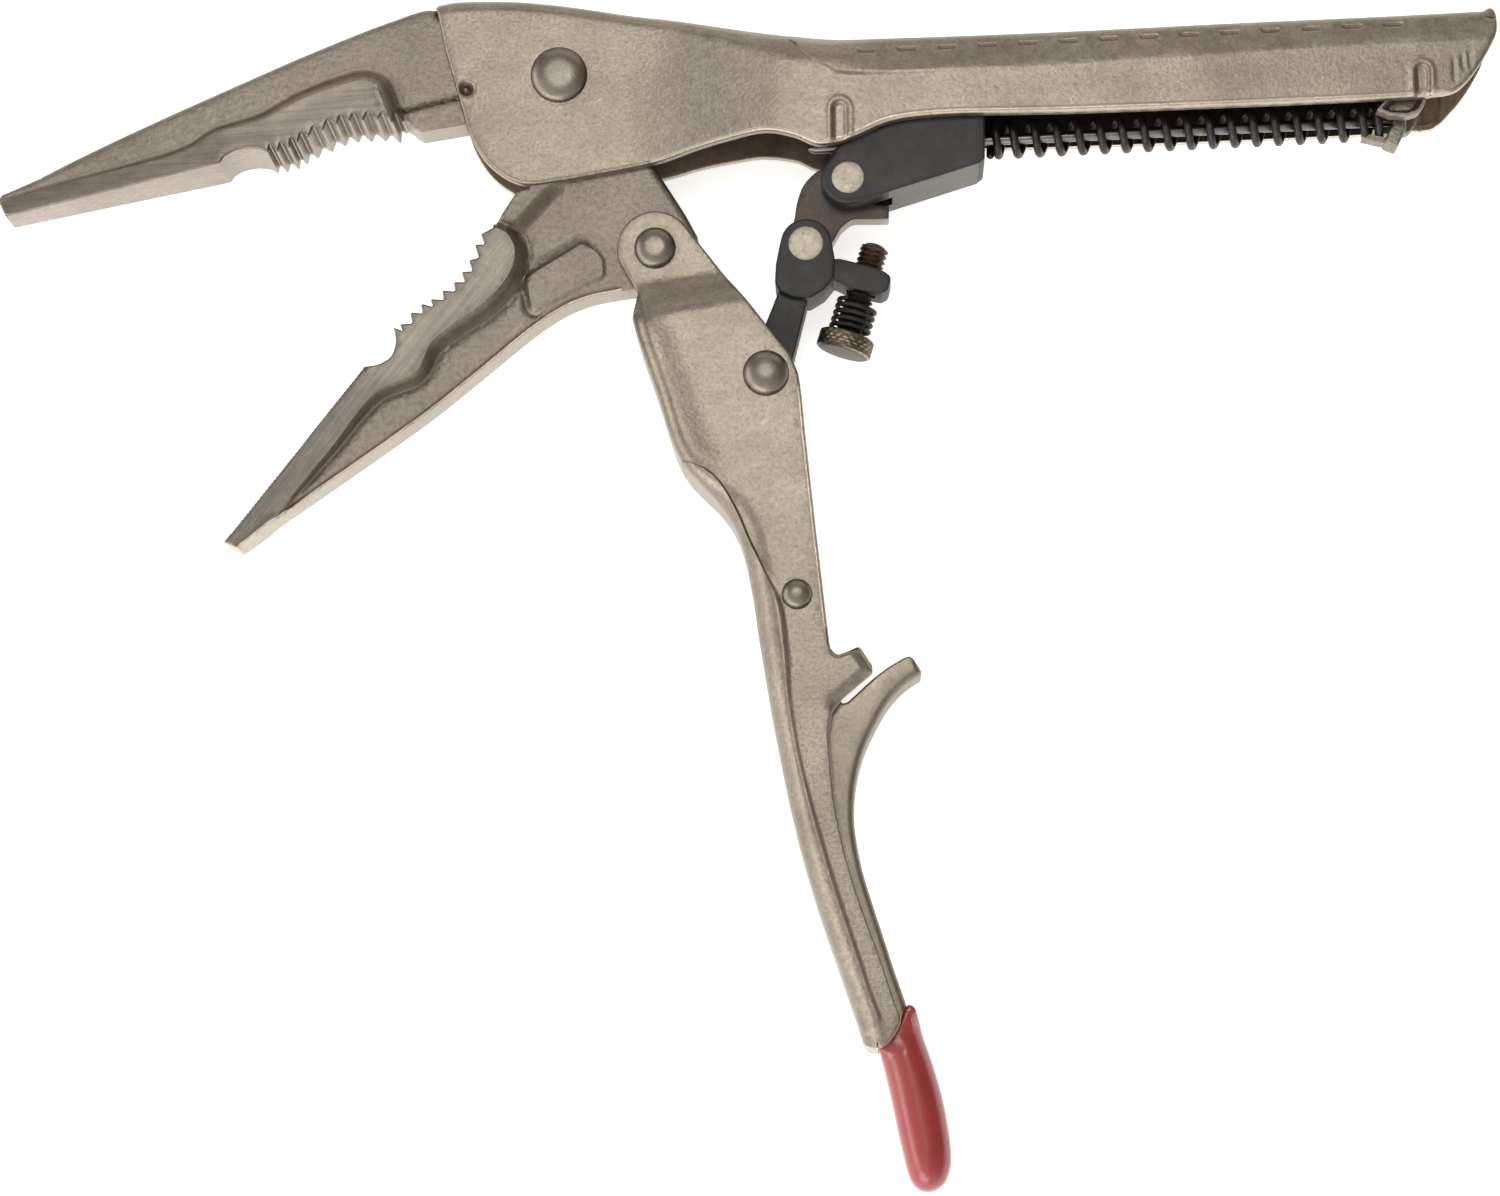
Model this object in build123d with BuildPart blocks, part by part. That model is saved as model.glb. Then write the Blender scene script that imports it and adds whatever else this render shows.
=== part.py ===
from build123d import *
import math
import os

os.makedirs("parts", exist_ok=True)

# ---------------------------------------------------------------- driving dimensions (mm)
# All outlines are drawn in the tool's own plane: x along the upper handle, y across it,
# with the middle plane of the tool at z = 0. CX, CY and MID_Z then set the whole tool down
# on its side, with the origin at the middle of its footprint.
CX, CY = -0.377, 1.455
MID_Z = 7.989

A = (-23.16, 64.09)      # lower jaw pivot
B = (-11.36, 42.23)      # lower jaw to lower handle
C = (2.10, 26.18)        # lower handle to toggle link
D = (6.87, 42.94)        # toggle link to lock link
E = (11.99, 50.76)       # lock link to slide block
F = (5.75, -0.66)        # release lever pivot

SHEET_UP = 1.5           # upper shell sheet
SHEET_LOW = 1.6          # lower shell sheet
UP_FRONT = 4.1           # half width of the upper shell at the jaws
UP_REAR = 6.8            # half width of the upper shell at the handle
EAR_HALF = 4.3           # half width over the ears of the lower shell
LOW_HALF = 6.4           # half width of the lower shell
TANG = 2.55              # half thickness of the jaw tangs
PAD_TIP, PAD_ROOT = 2.9, 5.0   # half thickness of the jaw pads, tip and root
PIN_GAP = 0.06           # running clearance on radius

ROD_R = 0.55
ROD_ANGLE = 2.345        # slope of the guide rod
ROD_FRONT = (7.09, 55.68)
ROD_LENGTH = 73.0
SPRING_OD, SPRING_ID = 4.9, 2.9

SCREW_TIP = (15.34, 43.53)
SCREW_DIR = (0.2931, 0.9561)
SCREW_R = 1.75
SCREW_HEAD_R, SCREW_HEAD_H = 3.4, 2.5

MID = Plane((-CX, -CY, MID_Z))


def at(h):
    """Tool plane raised by h above the middle."""
    return Plane((-CX, -CY, MID_Z + h))


def station(x):
    """Cross-section plane of the tool: local x is the tool's y, local y its z."""
    return Plane((x - CX, -CY, MID_Z), x_dir=(0, 1, 0), z_dir=(1, 0, 0))


def side_of(c):
    """Plane through a pivot with local x along the tool's x and local y along the pivot."""
    return Plane((c[0] - CX, c[1] - CY, MID_Z), x_dir=(1, 0, 0), z_dir=(0, -1, 0))


def pivot_axis(c):
    return Axis((c[0] - CX, c[1] - CY, 0), (0, 0, 1))


def tool_point(c):
    """Origin of the tool plane moved to a pivot."""
    return Plane((c[0] - CX, c[1] - CY, MID_Z))


def slab(points, half, mode=Mode.ADD):
    """Prism of a polygon, the same height above and below the middle plane."""
    with BuildSketch(at(-half)) as outline:
        with BuildLine():
            Polyline(*points, close=True)
        make_face()
    extrude(outline.sketch, amount=2 * half, mode=mode)


def disc(c, r, half, mode=Mode.ADD):
    with BuildSketch(tool_point(c).offset(-half)) as circle:
        Circle(r)
    extrude(circle.sketch, amount=2 * half, mode=mode)


def rivet(c, shank, half, head, rise, flat):
    """Domed rivet: shank through the stack, one head on each side."""
    top = half + rise
    bx = flat + 0.74 * (head - flat)
    bz = half + 0.64 * rise
    with BuildSketch(side_of(c)) as profile:
        with BuildLine():
            Polyline((0, top), (flat, top))
            ThreePointArc((flat, top), (bx, bz), (head, half))
            Polyline((head, half), (shank, half), (shank, -half), (head, -half))
            ThreePointArc((head, -half), (bx, -bz), (flat, -top))
            Polyline((flat, -top), (0, -top), (0, top))
        make_face()
    revolve(profile.sketch, axis=pivot_axis(c), revolution_arc=360)


def teeth(points, out, pitch, depth, half):
    """Straight V notches across a jaw, from the first point to the second.
    out is the direction that the teeth point in."""
    (x0, y0), (x1, y1) = points
    length = math.hypot(x1 - x0, y1 - y0)
    ux, uy = (x1 - x0) / length, (y1 - y0) / length
    n = int(length / pitch)
    with BuildSketch(at(-half)) as notches:
        for i in range(n):
            s = (i + 0.5) * length / n
            mx, my = x0 + ux * s, y0 + uy * s
            w = 0.42 * length / n
            with BuildLine():
                Polyline(
                    (mx - ux * w + out[0] * 0.02, my - uy * w + out[1] * 0.02),
                    (mx + ux * w + out[0] * 0.02, my + uy * w + out[1] * 0.02),
                    (mx - out[0] * depth, my - out[1] * depth),
                    close=True,
                )
            make_face()
    extrude(notches.sketch, amount=2 * half, mode=Mode.SUBTRACT)


# ---------------------------------------------------------------- upper handle shell
# A folded sheet channel, open below. Narrow where it holds the jaws, and flared behind
# them into a wider handle with a round back.
UP_STATIONS = [
    # x, top, half width, corner radius
    (-44.0, 73.30, 4.10, 1.8),
    (-34.0, 73.58, 4.10, 1.8),
    (-24.0, 73.38, 4.10, 1.8),
    (-14.0, 71.90, 4.12, 1.9),
    (-8.0, 70.75, 4.55, 2.2),
    (-3.0, 69.85, 5.40, 2.8),
    (2.0, 69.00, 6.30, 3.5),
    (7.0, 68.45, 6.84, 4.1),
    (13.0, 68.28, 6.86, 4.3),
    (40.0, 69.10, 6.86, 4.3),
    (70.0, 70.28, 6.86, 4.3),
    (94.0, 71.50, 6.86, 4.3),
]
UP_EDGE_FRONT = [(-38.30, 76.0), (-38.18, 72.73), (-37.13, 67.38), (-34.96, 59.77)]
UP_EDGE_NOSE = [(-34.96, 59.77), (-33.95, 56.61), (-31.47, 52.82), (-27.67, 50.53), (-22.94, 50.86)]
UP_EDGE_ARCH = [(-22.94, 50.86), (-18.08, 51.70), (-10.68, 53.13), (-5.92, 54.66), (-2.01, 55.64),
                (2.0, 56.35), (5.6, 55.75), (8.40, 54.46)]
UP_EDGE_STEP = [(8.40, 54.46), (11.78, 55.06), (14.6, 56.20), (17.10, 57.26), (21.92, 57.97), (38.54, 58.19)]
UP_EDGE_REAR = [(38.54, 58.19), (60.42, 58.75), (76.62, 59.23), (85.27, 60.15), (87.49, 62.51),
                (90.02, 66.61), (90.35, 69.74), (90.73, 76.0), (-38.30, 76.0)]
BEAD_FRONT_X, BEAD_REAR_X = 11.2, 81.35
BEAD_R = 0.8

with BuildPart() as upper_hollow:
    for x, top, half, r in UP_STATIONS:
        with BuildSketch(station(x)):
            with BuildLine():
                FilletPolyline((40, SHEET_UP - half), (top - SHEET_UP, SHEET_UP - half),
                               (top - SHEET_UP, half - SHEET_UP), (40, half - SHEET_UP),
                               radius=max(r - SHEET_UP, 0.5))
                Line((40, half - SHEET_UP), (40, SHEET_UP - half))
            make_face()
    loft(ruled=True)

with BuildPart() as upper_handle_shell:
    for x, top, half, r in UP_STATIONS:
        with BuildSketch(station(x)):
            with BuildLine():
                FilletPolyline((46, -half), (top, -half), (top, half), (46, half), radius=r)
                Line((46, half), (46, -half))
            make_face()
    loft(ruled=True)
    add(upper_hollow.part, mode=Mode.SUBTRACT)
    # side outline, cut to the flat width over the rear walls
    with BuildSketch(at(-UP_REAR)):
        with BuildLine():
            Polyline(*UP_EDGE_FRONT)
            Spline(*UP_EDGE_NOSE)
            Spline(*UP_EDGE_ARCH)
            Spline(*UP_EDGE_STEP)
            Polyline(*UP_EDGE_REAR)
        make_face()
    extrude(amount=2 * UP_REAR, mode=Mode.INTERSECT)
    # pressed beads: a dent outside and a rib inside, front stop of the slide and rear anchor
    for bx, low, high in ((BEAD_FRONT_X, 54.2, 59.6), (BEAD_REAR_X, 57.4, 63.6)):
        for s in (1, -1):
            with BuildSketch(Plane((bx - CX, high - CY, MID_Z + s * (UP_REAR - SHEET_UP + 0.05)),
                                   x_dir=(1, 0, 0), z_dir=(0, 1, 0))):
                Circle(BEAD_R)
            extrude(amount=-3.6)
            with BuildSketch(Plane((bx - CX, high - CY, MID_Z + s * (UP_REAR + 0.35)),
                                   x_dir=(1, 0, 0), z_dir=(0, 1, 0))):
                Circle(BEAD_R)
            extrude(amount=low - high - 2, mode=Mode.SUBTRACT)
    # hole for the main rivet
    disc(A, 2.52, 12, Mode.SUBTRACT)
upper_handle_shell.part.label = "upper_handle_shell"
export_step(upper_handle_shell.part, "parts/upper_handle_shell.step")

# ---------------------------------------------------------------- upper jaw
# Forged jaw held between the front walls: thin tang and arm, thick pad with the grip.
UJ_ARM = [(-91.2, 49.4), (-91.17, 50.26), (-79.63, 55.86), (-67.45, 61.34), (-55.24, 66.70), (-45.45, 70.95),
          (-40.55, 72.80), (-38.6, 72.95), (-38.0, 71.75), (-31.0, 71.75), (-31.0, 65.6), (-33.5, 57.7),
          (-34.8, 57.05), (-40.11, 56.18), (-41.23, 57.45), (-41.6, 59.2), (-52.0, 58.5), (-60.0, 56.2),
          (-66.0, 54.2), (-90.4, 48.6)]
UJ_GRIP = [(-90.40, 47.30), (-64.35, 53.20)]
UJ_NOTCH = [(-64.35, 53.20), (-63.75, 54.05), (-62.53, 54.73), (-60.89, 55.00), (-59.23, 54.81), (-58.61, 54.44)]
UJ_TEETH = [(-58.61, 54.44), (-55.94, 54.99), (-52.8, 56.75), (-49.6, 58.15), (-45.28, 58.45), (-42.6, 58.6)]
UJ_GROOVE = [(-42.6, 58.6), (-42.9, 61.44), (-44.16, 63.97), (-47.02, 65.05), (-51.07, 64.03), (-55.11, 62.38),
             (-59.94, 59.70), (-65.59, 57.86), (-68.80, 55.79), (-79.28, 52.11), (-91.2, 49.40), (-90.40, 47.30)]

with BuildPart() as upper_pad:
    slab(UJ_GRIP + UJ_NOTCH[1:] + UJ_TEETH[1:] + UJ_GROOVE[1:-1], 8)
    # the pad tapers towards the tip
    with BuildSketch(Plane((-CX, -CY, MID_Z), x_dir=(1, 0, 0), z_dir=(0, -1, 0))):
        with BuildLine():
            Polyline((-95, -PAD_TIP), (-91, -PAD_TIP), (-60, -4.75), (-52, -PAD_ROOT), (-30, -PAD_ROOT),
                     (-30, PAD_ROOT), (-52, PAD_ROOT), (-60, 4.75), (-91, PAD_TIP), (-95, PAD_TIP), close=True)
        make_face()
    extrude(amount=200, both=True, mode=Mode.INTERSECT)
    for p, q in zip(UJ_TEETH[:-1], UJ_TEETH[1:]):
        teeth((p, q), (0.30, -0.95), 1.45, 0.75, 8)

with BuildPart() as upper_jaw:
    slab(UJ_ARM, TANG)
    add(upper_pad.part)
upper_jaw.part.label = "upper_jaw"
export_step(upper_jaw.part, "parts/upper_jaw.step")

# ---------------------------------------------------------------- lower jaw
LJ_ARM = [(-62.3, 6.25), (-61.44, 5.98), (-44.40, 19.10), (-33.65, 26.49), (-28.08, 31.07), (-24.69, 34.05),
          (-22.02, 35.91), (-19.34, 37.15), (-16.53, 37.75), (-14.6, 38.05), (-11.36, 37.03), (-6.16, 42.23),
          (-5.99, 44.91), (-7.21, 46.79), (-10.64, 52.72), (-17.6, 61.2), (-23.16, 70.39), (-28.9, 61.7),
          (-26.1, 52.0), (-28.04, 49.59), (-30.56, 45.2), (-34.0, 41.0), (-43.2, 30.6), (-46.8, 26.0)]
LJ_GRIP = [(-62.94, 6.51), (-46.12, 27.56)]
LJ_NOTCH = [(-46.12, 27.56), (-44.60, 27.95), (-43.3, 28.95), (-42.72, 30.3), (-42.53, 32.20)]
LJ_TEETH = [(-42.53, 32.20), (-39.47, 35.34), (-35.53, 38.00), (-33.4, 40.8), (-31.78, 44.0)]
LJ_GROOVE = [(-31.78, 44.0), (-30.2, 44.6), (-28.6, 43.2), (-28.31, 42.03), (-28.87, 39.25), (-31.73, 35.70),
             (-35.56, 32.96), (-38.24, 30.61), (-40.12, 27.07), (-44.71, 24.73), (-50.75, 17.31), (-58.65, 8.18),
             (-61.9, 6.1)]

with BuildPart() as lower_pad:
    slab(LJ_GRIP + LJ_NOTCH[1:] + LJ_TEETH[1:] + LJ_GROOVE[1:], 8)
    # taper along the grip line
    with BuildSketch(Plane((-62.94 - CX, 6.51 - CY, MID_Z), x_dir=(0.6243, 0.7812, 0), z_dir=(0.7812, -0.6243, 0))):
        with BuildLine():
            Polyline((-10, -PAD_TIP), (0, -PAD_TIP), (31, -4.75), (39, -PAD_ROOT), (80, -PAD_ROOT),
                     (80, PAD_ROOT), (39, PAD_ROOT), (31, 4.75), (0, PAD_TIP), (-10, PAD_TIP), close=True)
        make_face()
    extrude(amount=200, both=True, mode=Mode.INTERSECT)
    for p, q in zip(LJ_TEETH[:-1], LJ_TEETH[1:]):
        teeth((p, q), (-0.78, 0.62), 1.45, 0.75, 8)

with BuildPart() as lower_jaw:
    slab(LJ_ARM, TANG)
    disc(A, 6.3, TANG)
    disc(B, 5.2, TANG)
    add(lower_pad.part)
    disc(A, 2.5 + PIN_GAP, 12, Mode.SUBTRACT)
    disc(B, 2.0 + PIN_GAP, 12, Mode.SUBTRACT)
lower_jaw.part.label = "lower_jaw"
export_step(lower_jaw.part, "parts/lower_jaw.step")

# ---------------------------------------------------------------- lower handle shell
# Folded sheet channel with its back to the left. Two ears hold the jaw; a joggle below
# them widens the channel.
LOW_BACK = [(-14.0, 33.4), (-12.4, 27.8), (-10.35, 21.4), (-8.45, 16.2), (-5.75, 12.4), (-2.55, 8.6), (-0.3, 2.2),
            (0.95, -5.0), (2.2, -12.8), (4.05, -22.55), (6.35, -32.2), (9.34, -41.85), (13.4, -53.7)]
LOW_END = [(13.4, -53.7), (15.1, -54.4), (16.5, -53.6), (17.75, -50.8), (17.06, -48.65)]
LOW_FRONT = [(17.06, -48.65), (15.35, -43.42), (13.04, -36.98), (11.32, -31.11), (10.17, -25.22), (9.71, -20.48),
             (9.61, -15.74)]
LOW_TAB = [(9.61, -15.74), (9.97, -14.31), (11.39, -12.77), (14.70, -10.04), (12.94, -7.17), (10.58, -7.16),
           (9.64, -6.19), (7.91, 8.25), (6.75, 19.18), (6.35, 23.6), (5.95, 26.2), (4.95, 28.55), (-7.77, 45.11)]
EAR_R = 4.6
# widths along the handle, measured square to the joggle
JOG_DIR = (0.17, -0.9854)
JOG_TOP, JOG_BOTTOM = -39.1, -35.3
LOW_PLAN = Plane((-CX, -CY, MID_Z), x_dir=(JOG_DIR[0], JOG_DIR[1], 0), z_dir=(JOG_DIR[1], -JOG_DIR[0], 0))


def normal_offset(points, d):
    """Polyline moved to its left by d."""
    out = []
    for i, p in enumerate(points):
        a = points[max(i - 1, 0)]
        b = points[min(i + 1, len(points) - 1)]
        l = math.hypot(b[0] - a[0], b[1] - a[1])
        out.append((p[0] - (b[1] - a[1]) / l * d, p[1] + (b[0] - a[0]) / l * d))
    return out


LOW_BACK_IN = normal_offset(LOW_BACK, SHEET_LOW)

with BuildPart() as lower_hollow:
    with BuildSketch(at(SHEET_LOW - LOW_HALF)):
        with BuildLine():
            Spline(*LOW_BACK_IN)
            Polyline(LOW_BACK_IN[-1], (15.8, -62), (40, -62), (40, 62), (-40, 62), (-40, 36.2), (-13.6, 36.0),
                     LOW_BACK_IN[0])
        make_face()
    extrude(amount=2 * (LOW_HALF - SHEET_LOW))
    in_edges = [e for e in lower_hollow.edges().filter_by(GeomType.BSPLINE) if e.length > 80]
    fillet(in_edges, radius=1.6)
    with BuildSketch(LOW_PLAN):
        with BuildLine():
            h, w, k = EAR_HALF - SHEET_LOW, LOW_HALF - SHEET_LOW, 0.42
            Polyline((-80, -h), (JOG_TOP + k, -h), (JOG_BOTTOM + k, -w), (99, -w),
                     (99, w), (JOG_BOTTOM + k, w), (JOG_TOP + k, h), (-80, h), close=True)
        make_face()
    extrude(amount=130, both=True, mode=Mode.INTERSECT)

with BuildPart() as lower_handle_shell:
    with BuildSketch(at(-LOW_HALF)):
        with BuildLine():
            Spline(*LOW_BACK)
            Polyline(*LOW_END)
            Spline(*LOW_FRONT)
            Polyline(*LOW_TAB)
            ThreePointArc((-7.77, 45.11), (-13.75, 46.16), (-15.65, 40.6))
            Polyline((-15.65, 40.6), (-13.3, 36.9), (-14.0, 33.4))
        make_face()
    extrude(amount=2 * LOW_HALF)
    back_edges = [e for e in lower_handle_shell.edges().filter_by(GeomType.BSPLINE)
                  if e.length > 80 and e.center().X + CX < 4.5]
    fillet(back_edges, radius=2.8)
    with BuildSketch(LOW_PLAN):
        with BuildLine():
            Polyline((-70, -EAR_HALF), (JOG_TOP, -EAR_HALF), (JOG_BOTTOM, -LOW_HALF), (90, -LOW_HALF),
                     (90, LOW_HALF), (JOG_BOTTOM, LOW_HALF), (JOG_TOP, EAR_HALF), (-70, EAR_HALF), close=True)
        make_face()
    extrude(amount=120, both=True, mode=Mode.INTERSECT)
    add(lower_hollow.part, mode=Mode.SUBTRACT)
    # room for the end of the jaw between the ears
    disc(B, 6.1, EAR_HALF - SHEET_LOW, Mode.SUBTRACT)
    disc(B, 2.02, 12, Mode.SUBTRACT)
    disc(C, 1.92, 12, Mode.SUBTRACT)
    disc(F, 1.32, 12, Mode.SUBTRACT)
lower_handle_shell.part.label = "lower_handle_shell"
export_step(lower_handle_shell.part, "parts/lower_handle_shell.step")

# ---------------------------------------------------------------- rivets and pins
with BuildPart() as main_pivot_rivet:
    rivet(A, 2.5, UP_FRONT + 0.02, 3.45, 1.25, 1.35)
main_pivot_rivet.part.label = "main_pivot_rivet"
export_step(main_pivot_rivet.part, "parts/main_pivot_rivet.step")

with BuildPart() as jaw_handle_rivet:
    rivet(B, 2.0, EAR_HALF + 0.02, 2.5, 1.1, 1.2)
jaw_handle_rivet.part.label = "jaw_handle_rivet"
export_step(jaw_handle_rivet.part, "parts/jaw_handle_rivet.step")

with BuildPart() as toggle_rivet:
    rivet(C, 1.9, LOW_HALF + 0.02, 2.75, 1.55, 0.35)
toggle_rivet.part.label = "toggle_rivet"
export_step(toggle_rivet.part, "parts/toggle_rivet.step")

with BuildPart() as lever_rivet:
    rivet(F, 1.3, LOW_HALF + 0.02, 1.8, 1.2, 0.25)
lever_rivet.part.label = "lever_rivet"
export_step(lever_rivet.part, "parts/lever_rivet.step")

with BuildPart() as link_pin:
    disc(D, 2.05, 3.45)
    chamfer(link_pin.edges().filter_by(GeomType.CIRCLE), length=0.15)
link_pin.part.label = "link_pin"
export_step(link_pin.part, "parts/link_pin.step")

with BuildPart() as slide_pin:
    disc(E, 1.87, 4.85)
    chamfer(slide_pin.edges().filter_by(GeomType.CIRCLE), length=0.15)
slide_pin.part.label = "slide_pin"
export_step(slide_pin.part, "parts/slide_pin.step")

# two spacer bushes that centre the toggle link in the channel
with BuildPart() as toggle_spacers:
    for z0, z1 in ((2.25, 4.76), (-4.76, -2.25)):
        with BuildSketch(tool_point(C).offset(z0)):
            Circle(2.9)
            Circle(1.94, mode=Mode.SUBTRACT)
        extrude(amount=z1 - z0)
toggle_spacers.part.label = "toggle_spacers"
export_step(toggle_spacers.part, "parts/toggle_spacers.step")

# ---------------------------------------------------------------- toggle link
T_HEAD = [(3.75, 44.2), (3.15, 39.5), (3.5, 37.6), (5.1, 36.35), (7.4, 36.1), (9.2, 37.5), (10.55, 39.2),
          (10.2, 42.9)]
T_ARM = [(3.8, 37.6), (-0.1, 27.0), (0.4, 24.4), (3.6, 23.6), (4.75, 25.3), (7.9, 36.6), (6.0, 39.0)]
T_BLOCK = [(8.6, 40.6), (11.0, 40.55), (14.35, 39.9), (16.9, 38.75), (17.3, 38.1), (16.7, 36.2), (16.0, 35.8),
           (12.17, 36.69), (10.6, 37.2), (8.6, 37.6)]
SCREW_PLANE = Plane((SCREW_TIP[0] - CX, SCREW_TIP[1] - CY, MID_Z), x_dir=(0, 0, 1),
                    z_dir=(SCREW_DIR[0], SCREW_DIR[1], 0))

with BuildPart() as toggle_link:
    slab(T_HEAD, 3.4)
    disc(D, 3.3, 3.4)
    slab(T_ARM, 2.2)
    disc(C, 3.0, 2.2)
    slab(T_BLOCK, 2.7)
    # fork for the lock link
    disc(D, 4.0, 1.62, Mode.SUBTRACT)
    slab([(0.0, 44.0), (14.0, 41.4), (14.0, 52.0), (0.0, 52.0)], 1.62, Mode.SUBTRACT)
    disc(D, 2.06, 12, Mode.SUBTRACT)
    disc(C, 1.9 + PIN_GAP, 12, Mode.SUBTRACT)
    with BuildSketch(SCREW_PLANE.offset(3)):
        Circle(SCREW_R + PIN_GAP)
    extrude(amount=-14, mode=Mode.SUBTRACT)
toggle_link.part.label = "toggle_link"
export_step(toggle_link.part, "parts/toggle_link.step")

# ---------------------------------------------------------------- lock link
K_LEFT = [(3.85, 43.7), (5.15, 45.90), (5.64, 48.22), (6.75, 50.60), (8.70, 52.35), (9.70, 52.90)]
K_RIGHT = [(13.6, 48.2), (16.94, 48.13), (16.93, 46.0), (12.4, 46.03), (11.1, 45.3), (9.95, 43.2)]

with BuildPart() as lock_link:
    slab(K_LEFT + [(11.99, 52.0), (14.6, 50.0)] + K_RIGHT + [(6.87, 42.0)], 1.5)
    disc(D, 3.05, 1.5)
    disc(E, 2.95, 1.5)
    disc(D, 2.05 + PIN_GAP, 12, Mode.SUBTRACT)
    disc(E, 1.87 + PIN_GAP, 12, Mode.SUBTRACT)
    # groove in the edge that clears the guide rod when the link lies back
    slab([(2.0, 44.8), (5.35, 44.8), (6.55, 48.0), (7.75, 50.1), (9.5, 51.7), (10.6, 53.1), (10.6, 58.0),
          (2.0, 58.0)], 0.8, Mode.SUBTRACT)
lock_link.part.label = "lock_link"
export_step(lock_link.part, "parts/lock_link.step")

# ---------------------------------------------------------------- slide block
S_SIDE = [(9.1, 51.9), (10.5, 54.5), (12.75, 55.9), (12.85, 62.35), (28.60, 63.00), (28.55, 52.90), (27.95, 52.50),
          (17.30, 49.09), (14.4, 48.0)]
ROD_DIR = (math.cos(math.radians(ROD_ANGLE)), math.sin(math.radians(ROD_ANGLE)))
ROD_PLANE = Plane((ROD_FRONT[0] - CX, ROD_FRONT[1] - CY, MID_Z), x_dir=(-ROD_DIR[1], ROD_DIR[0], 0),
                  z_dir=(ROD_DIR[0], ROD_DIR[1], 0))

with BuildPart() as slide_block:
    slab(S_SIDE, 4.8)
    disc(E, 3.15, 4.8)
    slab([(8.95, 50.5), (9.1, 51.9), (14.4, 52.0), (14.4, 48.0), (13.2, 47.85)], 4.8)
    # slot that the lock link swings in
    disc(E, 7.3, 1.62, Mode.SUBTRACT)
    slab([(4.0, 40.0), (18.6, 40.0), (18.6, 50.5), (4.0, 50.5)], 1.62, Mode.SUBTRACT)
    disc(E, 1.88, 12, Mode.SUBTRACT)
    # guide for the rod, taller than the rod
    with BuildSketch(ROD_PLANE.offset(-5)):
        with Locations((0.45, 0)):
            SlotCenterToCenter(1.15, 2 * (ROD_R + 0.12))
    extrude(amount=40, mode=Mode.SUBTRACT)
slide_block.part.label = "slide_block"
export_step(slide_block.part, "parts/slide_block.step")

# ---------------------------------------------------------------- guide rod, its anchor and the main spring
with BuildPart() as guide_rod:
    with BuildSketch(ROD_PLANE):
        Circle(ROD_R)
    extrude(amount=ROD_LENGTH)
guide_rod.part.label = "guide_rod"
export_step(guide_rod.part, "parts/guide_rod.step")

ANCHOR_S = 70.4          # distance of the anchor tongue from the rod's front end
with BuildPart() as spring_anchor:
    # saddle across the channel, caught in front of the rear beads
    slab([(77.62, 59.35), (80.4, 59.45), (80.4, 61.05), (77.62, 60.95)], UP_REAR - SHEET_UP - 0.05)
    # tongue that hangs from it and holds the rod and the spring
    slab([(77.58, 55.0), (79.18, 54.9), (79.45, 60.5), (77.75, 60.5)], 1.9)
    with BuildSketch(ROD_PLANE.offset(ANCHOR_S - 8)):
        Circle(ROD_R + 0.02)
    extrude(amount=14, mode=Mode.SUBTRACT)
spring_anchor.part.label = "spring_anchor"
export_step(spring_anchor.part, "parts/spring_anchor.step")

# the coils as one tube of the spring's outer and inner size
with BuildPart() as main_spring:
    with BuildSketch(ROD_PLANE.offset(21.75)):
        Circle(SPRING_OD / 2)
        Circle(SPRING_ID / 2, mode=Mode.SUBTRACT)
    extrude(amount=48.65)
main_spring.part.label = "main_spring"
export_step(main_spring.part, "parts/main_spring.step")

# ---------------------------------------------------------------- adjusting screw and its spring
with BuildPart() as adjusting_screw:
    with BuildSketch(SCREW_PLANE.offset(-11.9)):
        Circle(SCREW_R)
    extrude(amount=11.9)
    chamfer(adjusting_screw.edges().group_by(Axis((0, 0, 0), (SCREW_DIR[0], SCREW_DIR[1], 0)))[-1], length=0.7)
    with BuildSketch(SCREW_PLANE.offset(-11.8 - SCREW_HEAD_H)):
        Circle(SCREW_HEAD_R)
    extrude(amount=SCREW_HEAD_H)
    chamfer([e for e in adjusting_screw.edges().filter_by(GeomType.CIRCLE) if abs(e.radius - SCREW_HEAD_R) < 0.01],
            length=0.4)
adjusting_screw.part.label = "adjusting_screw"
export_step(adjusting_screw.part, "parts/adjusting_screw.step")

with BuildPart() as screw_spring:
    with BuildSketch(SCREW_PLANE.offset(-11.75)):
        Circle(2.6)
        Circle(1.95, mode=Mode.SUBTRACT)
    extrude(amount=3.95)
screw_spring.part.label = "screw_spring"
export_step(screw_spring.part, "parts/screw_spring.step")

# ---------------------------------------------------------------- release lever and its dipped tail
LEV_OUT = [(11.37, -13.25), (15.53, -9.75), (18.39, -7.92), (19.2, -7.75), (20.45, -9.7), (19.9, -10.5),
           (18.1, -12.3), (16.1, -14.83), (14.5, -17.7), (13.35, -20.56), (12.6, -23.7), (12.4, -26.9),
           (12.75, -30.2), (13.55, -33.9), (15.26, -39.52), (17.1, -45.17), (18.4, -49.3), (20.6, -56.5), (21.7, -62.0), (21.8, -66.5), (20.9, -68.9), (19.9, -68.2), (19.2, -66.0),
           (17.9, -59.5), (16.6, -53.6)]
LEV_IN = [(16.1, -52.6), (13.9, -45.1), (11.65, -35.5), (9.1, -27.1), (7.0, -18.8), (5.7, -10.4), (4.0, -2.2),
          (4.1, 1.2), (4.5, 6.4), (6.2, 6.4), (7.6, 1.0), (8.2, -6.4), (8.9, -11.6)]
LEV_HOLLOW = [(2.0, 3.0), (6.4, 2.0), (6.9, -6.0), (7.4, -12.2), (9.0, -14.3), (12.4, -13.9), (13.1, -15.6),
              (11.6, -20.0), (10.5, -25.6), (10.3, -27.6), (6.0, -27.6), (2.0, -8.0)]
LEV_HALF = 3.8

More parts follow.
